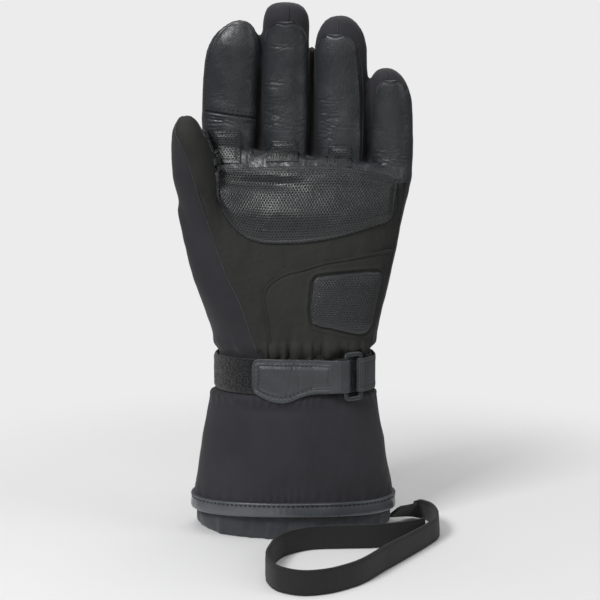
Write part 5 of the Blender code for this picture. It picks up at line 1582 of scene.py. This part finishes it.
# %% Pull tab
# across in millimetres, bottom and top as shares of the band's height
TAB = np.array([
    (-24.6, 0.30, 0.74), (-24.3, 0.20, 0.84), (-23.4, 0.08, 0.95),
    (-21.5, 0.00, 1.00), (-18.0, -0.09, 1.015),
    (-11.0, -0.20, 1.02), (-2.0, -0.19, 1.02), (5.5, -0.04, 1.01), (13.0, 0.05, 1.00), (20.0, 0.07, 0.99),
    (26.0, 0.08, 0.985),
])


def bar_turn(bar, ahead, thickness):
    """A strap's middle line over, round and under an upright bar."""
    turn = np.linspace(0.5, -0.5, 24)[:, None] * math.pi
    reach = 0.6 * MM + thickness / 2
    side = np.cos(turn) * ahead * (BAR_WIDE + reach)
    normal = np.cos(turn) * ahead + np.sin(turn) * OUTWARD
    return bar + side + np.sin(turn) * OUTWARD * (BAR_DEEP + reach), normal


def make_pull_tab():
    """The tab over the band, on to the buckle and round its left bar, with two lines of thread."""
    bar = BUCKLE_MIDDLE * (1, 1, 0) - AHEAD * BAR_GAP
    across = np.linspace(-24.6, bar[0] / MM - 2.6, 200) * MM
    climb = np.clip((across / bar[0] - 0.30) / 0.55, 0, 1) ** 1.5
    wave = 0.35 * MM * bump_at(across / MM, -6, 4) - 0.3 * MM * bump_at(across / MM, 1.5, 2.0)
    front, normal = wrist_at(across, LEVEL - 0.35 * MM + (OVER - LEVEL) * climb + wave)
    fold, fold_normal = bar_turn(bar, AHEAD, 1.0 * MM)
    back, back_normal = wrist_at(np.linspace(bar[0] - 1.5 * MM, bar[0] - 6 * MM, 12), LEVEL)
    path = np.concatenate([front, fold, back])
    outward = np.concatenate([normal, fold_normal, -back_normal])
    shape = read_table(TAB, np.clip(across / MM, -24.6, 26))
    rows = np.minimum(np.arange(len(path)), len(front) - 1)
    low, high = BAND_Z + shape[rows, 0] * BAND_HEIGHT, BAND_Z + shape[rows, 1] * BAND_HEIGHT
    x = np.concatenate([across, np.full(len(path) - len(across), 0.05)])[:, None] / MM
    a = np.linspace(-1, 1, 60)[None]
    rim_away = np.minimum((1 - np.abs(a)) * (high - low)[:, None] / 2, (x + 24.8) * MM)
    grooves = 0.30 * bump_at(rim_away, 1.9 * MM, 0.35 * MM) + 0.22 * bump_at(rim_away, 3.6 * MM, 0.30 * MM)
    relief = 0.45 * MM * ease(rim_away, 3.6 * MM, 6 * MM) * (x < 20) - MM * grooves * (x < 22)
    creases = 0.5 * bump_at(x + 1.2 * a, 3.2, 0.9) + 0.4 * bump_at(x - 2.5 * a, -1.5, 0.7)
    creases = creases + 0.3 * bump_at(x, 12, 1.2)
    relief = relief - MM * 0.7 * creases * ease(rim_away, 1 * MM, 4 * MM)
    relief = np.concatenate([relief, np.zeros((len(path), 22))], axis=1)
    rings, uv = strap_points(path, outward, low, high, 1.0 * MM, face=60, relief=relief)
    made = grid_piece("pull_tab_leather", rings, uv=uv, wrap=True, caps=True)
    made.data.flip_normals()
    dress(made, STRAP_LEATHER, "smooth_leather", "pull_tab")
    face = rings[4:150, :60].transpose(1, 0, 2)
    sew_rim(face, 1.8 * MM, "left top bottom", "light", 2.5 * MM, 1.7 * MM, 0.25 * MM)
    sew_rim(face, 3.5 * MM, "left top bottom", "dark", 2.5 * MM, 1.7 * MM, 0.25 * MM)


make_pull_tab()


# %% Anchor strap
def make_anchor():
    """The woven strap round the wrist's side and through the buckle at its right bar."""
    bar = BUCKLE_MIDDLE * (1, 1, 0) + AHEAD * BAR_GAP
    fold, fold_normal = bar_turn(bar, -AHEAD, 1.0 * MM)
    start = np.argmin(np.linalg.norm(ON_WRIST[:, :2] - bar[:2], axis=1))
    turn = np.linspace(WRIST_TURN[start] + 0.10, 2 * math.pi + 0.45, 70)
    settle = np.clip(1 - np.linspace(0, 1, 70) * 2.2, 0, 1)
    over, normal = wrist_path(turn, LEVEL + (6.7 * MM - LEVEL) * settle)
    under = fold[-1:] + AHEAD * np.linspace(3, 0.5, 4)[::-1][:, None] * MM
    path = np.concatenate([over[::-1], fold, under])
    outward = np.concatenate([normal[::-1], fold_normal, np.repeat(-OUTWARD[None], 4, axis=0)])
    slant = np.clip(np.linspace(1, -0.4, len(path)), 0, 1)
    low = BAND_Z + BAND_HEIGHT * (0.05 - 0.03 * slant)
    high = BAND_Z + BAND_HEIGHT * (1.0 - 0.02 * slant)
    rings, uv = strap_points(path, outward, low, high, 1.0 * MM, face=30)
    made = grid_piece("anchor_strap", rings, uv=uv, wrap=True, caps=True)
    dress(made, ANCHOR_WEBBING, "webbing", "buckle_anchor")
    face = rings[:78, :30]
    for k, tone in ((2, "light"), (4, "dark"), (25, "dark"), (27, "light")):
        sew(face[30:76, k], outward[30:76], tone, 2.0 * MM, 1.4 * MM, 0.17 * MM)
    for k in (69, 66):
        sew(face[k, 2:28], np.repeat(outward[k][None], 26, axis=0), "light", 2.0 * MM, 1.4 * MM, 0.18 * MM)


make_anchor()

# %% [markdown]
# ## The wrist leash
# Ribbed webbing stands on its edge on the floor. A tail comes out under the hem, lies over at first,
# and is sewn back to itself at the end of a loop. Its route is the solids' own, so it keeps the real
# length.

# %% Leash route
# right of the cuff, in front of it, lean in degrees, rise
LEASH = np.array([
    (0.005, -0.312, 52.0, 0.25), (0.083, -0.372, 48.0, 0.15), (0.153, -0.422, 40.0, 0.05),
    (0.223, -0.402, 26.0, 0), (0.271, -0.312, 14.0, 0), (0.295, -0.152, 6.0, 0),
    (0.273, 0.018, 2.0, 0), (0.203, 0.158, 0, 0),
    (0.108, 0.318, 0, 0), (-0.052, 0.578, 0, 0), (-0.277, 0.908, 0, 0), (-0.407, 0.998, 0, 0),
    (-0.527, 1.023, 0, 0), (-0.647, 0.958, 0, 0), (-0.712, 0.808, 0, 0), (-0.702, 0.588, 0, 0),
    (-0.622, 0.348, 0, 0), (-0.477, 0.233, 0, 0), (-0.297, 0.208, 0, 0), (-0.097, 0.193, 0, 0),
    (0.083, 0.138, 0, 0), (0.193, 0.073, 0, 0),
])
LEASH_BOX = [np.array(corner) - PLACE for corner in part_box("leash")]
LEASH_SPAN, LEASH_REACH, LEASH_HEIGHT = 0.1020, 0.1015, 0.0145


def leash_line(count):
    """The route through the table's rows, placed so that its ends match the solid's box."""
    x, y = LEASH[:, 0] * LEASH_SPAN, -LEASH[:, 1] * LEASH_REACH
    at = np.concatenate([[0], np.cumsum(np.hypot(np.diff(x), np.diff(y)))])
    rows = np.column_stack([at, x, y, np.radians(LEASH[:, 2]), LEASH[:, 3] * HEM_Z])
    line = read_table(rows, np.linspace(0, at[-1], count))
    line[:, 1] += LEASH_BOX[0][1] - line[:, 1].min() + 0.75 * MM
    line[:, 0] += LEASH_BOX[0][0] - line[:, 0].min() + 0.75 * MM
    return line, at[-1]


def make_leash():
    """The webbing on its edge along the route, with a sewn joint where the loop meets the tail."""
    line, length = leash_line(360)
    plan, lean, rise = line[:, :2], np.maximum(line[:, 2], 0), np.maximum(line[:, 3], 0)
    ahead = np.gradient(plan, axis=0)
    ahead /= np.linalg.norm(ahead, axis=1, keepdims=True)
    side = np.stack([ahead[:, 1], -ahead[:, 0]], axis=1)
    up = np.column_stack([side * np.sin(lean)[:, None], np.cos(lean)])
    thick = np.column_stack([side * np.cos(lean)[:, None], -np.sin(lean)])
    edge = np.linspace(0, math.pi, 7)[1:-1]
    a = np.concatenate([np.linspace(0, 1, 24), np.ones(5), np.linspace(1, 0, 24), np.zeros(5)])
    b = np.concatenate([np.ones(24), np.cos(edge), -np.ones(24), -np.cos(edge)])
    half = 0.7 * MM
    fat = half * (1 - 0.35 * bump_at(np.abs(2 * a - 1), 0.86, 0.10)) + 0.12 * MM * (np.abs(2 * a - 1) < 0.8)
    height = LEASH_HEIGHT - 0.5 * MM
    foot = np.column_stack([plan, rise + np.sin(lean) * half + 0.25 * MM])
    points = foot[:, None] + up[:, None] * (a * height)[:, None] + thick[:, None] * (b * fat)[:, None]
    points[..., 2] += 0.3 * MM * np.sin(np.linspace(0, 1, 360) * 21)[:, None] * a[None] ** 2
    gaps = np.linspace(0, length, 360)
    v = np.append(a, a[0]) * LEASH_HEIGHT
    uv = np.stack(np.meshgrid(gaps, v, indexing="ij"), axis=-1)
    made = grid_piece("leash_webbing", points, uv=uv, wrap=True, caps=True)
    dress(made, WEBBING, "webbing", "leash")
    joint = int(np.argmax(gaps > 0.255 * length))
    for k in (joint, joint + 4):
        sew(points[k, 1:23], np.repeat(thick[k][None], 22, axis=0), "light", 2.0 * MM, 1.5 * MM, 0.18 * MM)
    print("leash length, mm:", round(length / MM, 1))


make_leash()


# %% All stitches
def make_stitches(tone, material):
    """All stitches of one thread in one mesh."""
    points, faces, count = [], [], 0
    for block, quads in STITCHES[tone]:
        size = block.shape[1]
        steps = (np.arange(len(block)) * size + count)[:, None, None]
        faces.append((quads[None] + steps).reshape(-1, 4))
        points.append(block.reshape(-1, 3))
        count += block.shape[0] * size
    made = piece_from(f"{tone}_stitches", np.concatenate(points), faces)
    dress(made, material, "smooth_leather")


make_stitches("dark", DARK_THREAD)
make_stitches("light", LIGHT_THREAD)

# %% [markdown]
# ## Floor, light and camera
# The glove stands on a pale sheet that fades into an even backdrop, so that only its soft shadow shows.
# Large soft lamps stand high on the left and lower on the right.

# %% Stage
CAMERA_RIGHT, CAMERA_AWAY, CAMERA_HEIGHT, AIM_HEIGHT, LENS = 0.0042, 0.85, 0.25, 0.1412, 83.57
# name, place, aim, size, power
LAMPS = (
    ("high_left", (-0.62, -0.80, 1.00), (0, 0, 0.20), (0.40, 0.40), 11.5),
    ("front_low", (0.15, -1.25, 0.55), (0, 0, 0.12), (0.9, 0.5), 2.0),
    ("right_side", (0.95, -0.35, 0.6), (0, 0, 0.15), (0.4, 0.9), 1.7),
    ("top", (0.0, 0.25, 1.2), (0, 0, 0.1), (0.9, 0.9), 5.3),
)


def make_floor():
    """The pale sheet, which turns clear away from the glove."""
    size = 1.2
    at = np.linspace(-size, size, 3)
    x, y = np.meshgrid(at, at)
    points = np.stack([x, y, np.full(x.shape, -0.0002)], axis=-1)
    floor = grid_piece("floor_sheet", points)
    f = Finish("floor_paper", 0.9, Specular_IOR_Level=0.1)
    x_at, y_at, _ = f.node("ShaderNodeSeparateXYZ", {}, [f.place], "X", "Y", "Z")
    away = (x_at * x_at + (y_at * 0.8) * (y_at * 0.8)).power(0.5)
    f.shader.inputs["Base Color"].default_value = (0.93, 0.93, 0.93, 1)
    clear = f.node("ShaderNodeBsdfTransparent", {}, {}, "BSDF")
    mixed = f.node("ShaderNodeMixShader", {}, {0: away.ramp(0.12, 0.42)}, "Shader")
    mix = mixed.socket.node
    f.tree.links.new(f.shader.outputs[0], mix.inputs[1])
    f.tree.links.new(clear.socket, mix.inputs[2])
    f.tree.links.new(mixed.socket, f.tree.nodes["Material Output"].inputs[0])
    floor.data.materials.append(f.material)


def make_lamp(name, where, aim, size, power):
    data = bpy.data.lights.new(name, "AREA")
    data.shape = "RECTANGLE"
    data.size, data.size_y = size
    data.energy = power
    lamp = bpy.data.objects.new(name, data)
    bpy.context.scene.collection.objects.link(lamp)
    lamp.location = where
    lamp.rotation_euler = (Vector(aim) - Vector(where)).to_track_quat("-Z", "Y").to_euler()


def make_world():
    """An even backdrop for the camera, and a soft light for everything else."""
    world = bpy.data.worlds.new("studio")
    bpy.context.scene.world = world
    world.use_nodes = True
    nodes, links = world.node_tree.nodes, world.node_tree.links
    even, soft = nodes["Background"], nodes.new("ShaderNodeBackground")
    even.inputs[0].default_value = (0.838, 0.838, 0.838, 1)
    soft.inputs[0].default_value = (1, 1, 1, 1)
    soft.inputs[1].default_value = 0.13
    path, mix = nodes.new("ShaderNodeLightPath"), nodes.new("ShaderNodeMixShader")
    links.new(path.outputs["Is Camera Ray"], mix.inputs[0])
    links.new(soft.outputs[0], mix.inputs[1])
    links.new(even.outputs[0], mix.inputs[2])
    links.new(mix.outputs[0], nodes["World Output"].inputs[0])


def make_camera():
    """The camera in front of the glove, a little above it and level across."""
    data = bpy.data.cameras.new("photo_camera")
    data.sensor_width = 36
    data.lens = LENS
    camera = bpy.data.objects.new("photo_camera", data)
    bpy.context.scene.collection.objects.link(camera)
    camera.location = (CAMERA_RIGHT + PLACE[0], PLACE[1] - CAMERA_AWAY, CAMERA_HEIGHT)
    aim = Vector((CAMERA_RIGHT + PLACE[0], PLACE[1], AIM_HEIGHT))
    camera.rotation_euler = (aim - camera.location).to_track_quat("-Z", "Y").to_euler()
    bpy.context.scene.camera = camera


make_floor()
for lamp in LAMPS:
    make_lamp(*lamp)
make_world()
make_camera()
bpy.context.scene.view_settings.view_transform = "Standard"
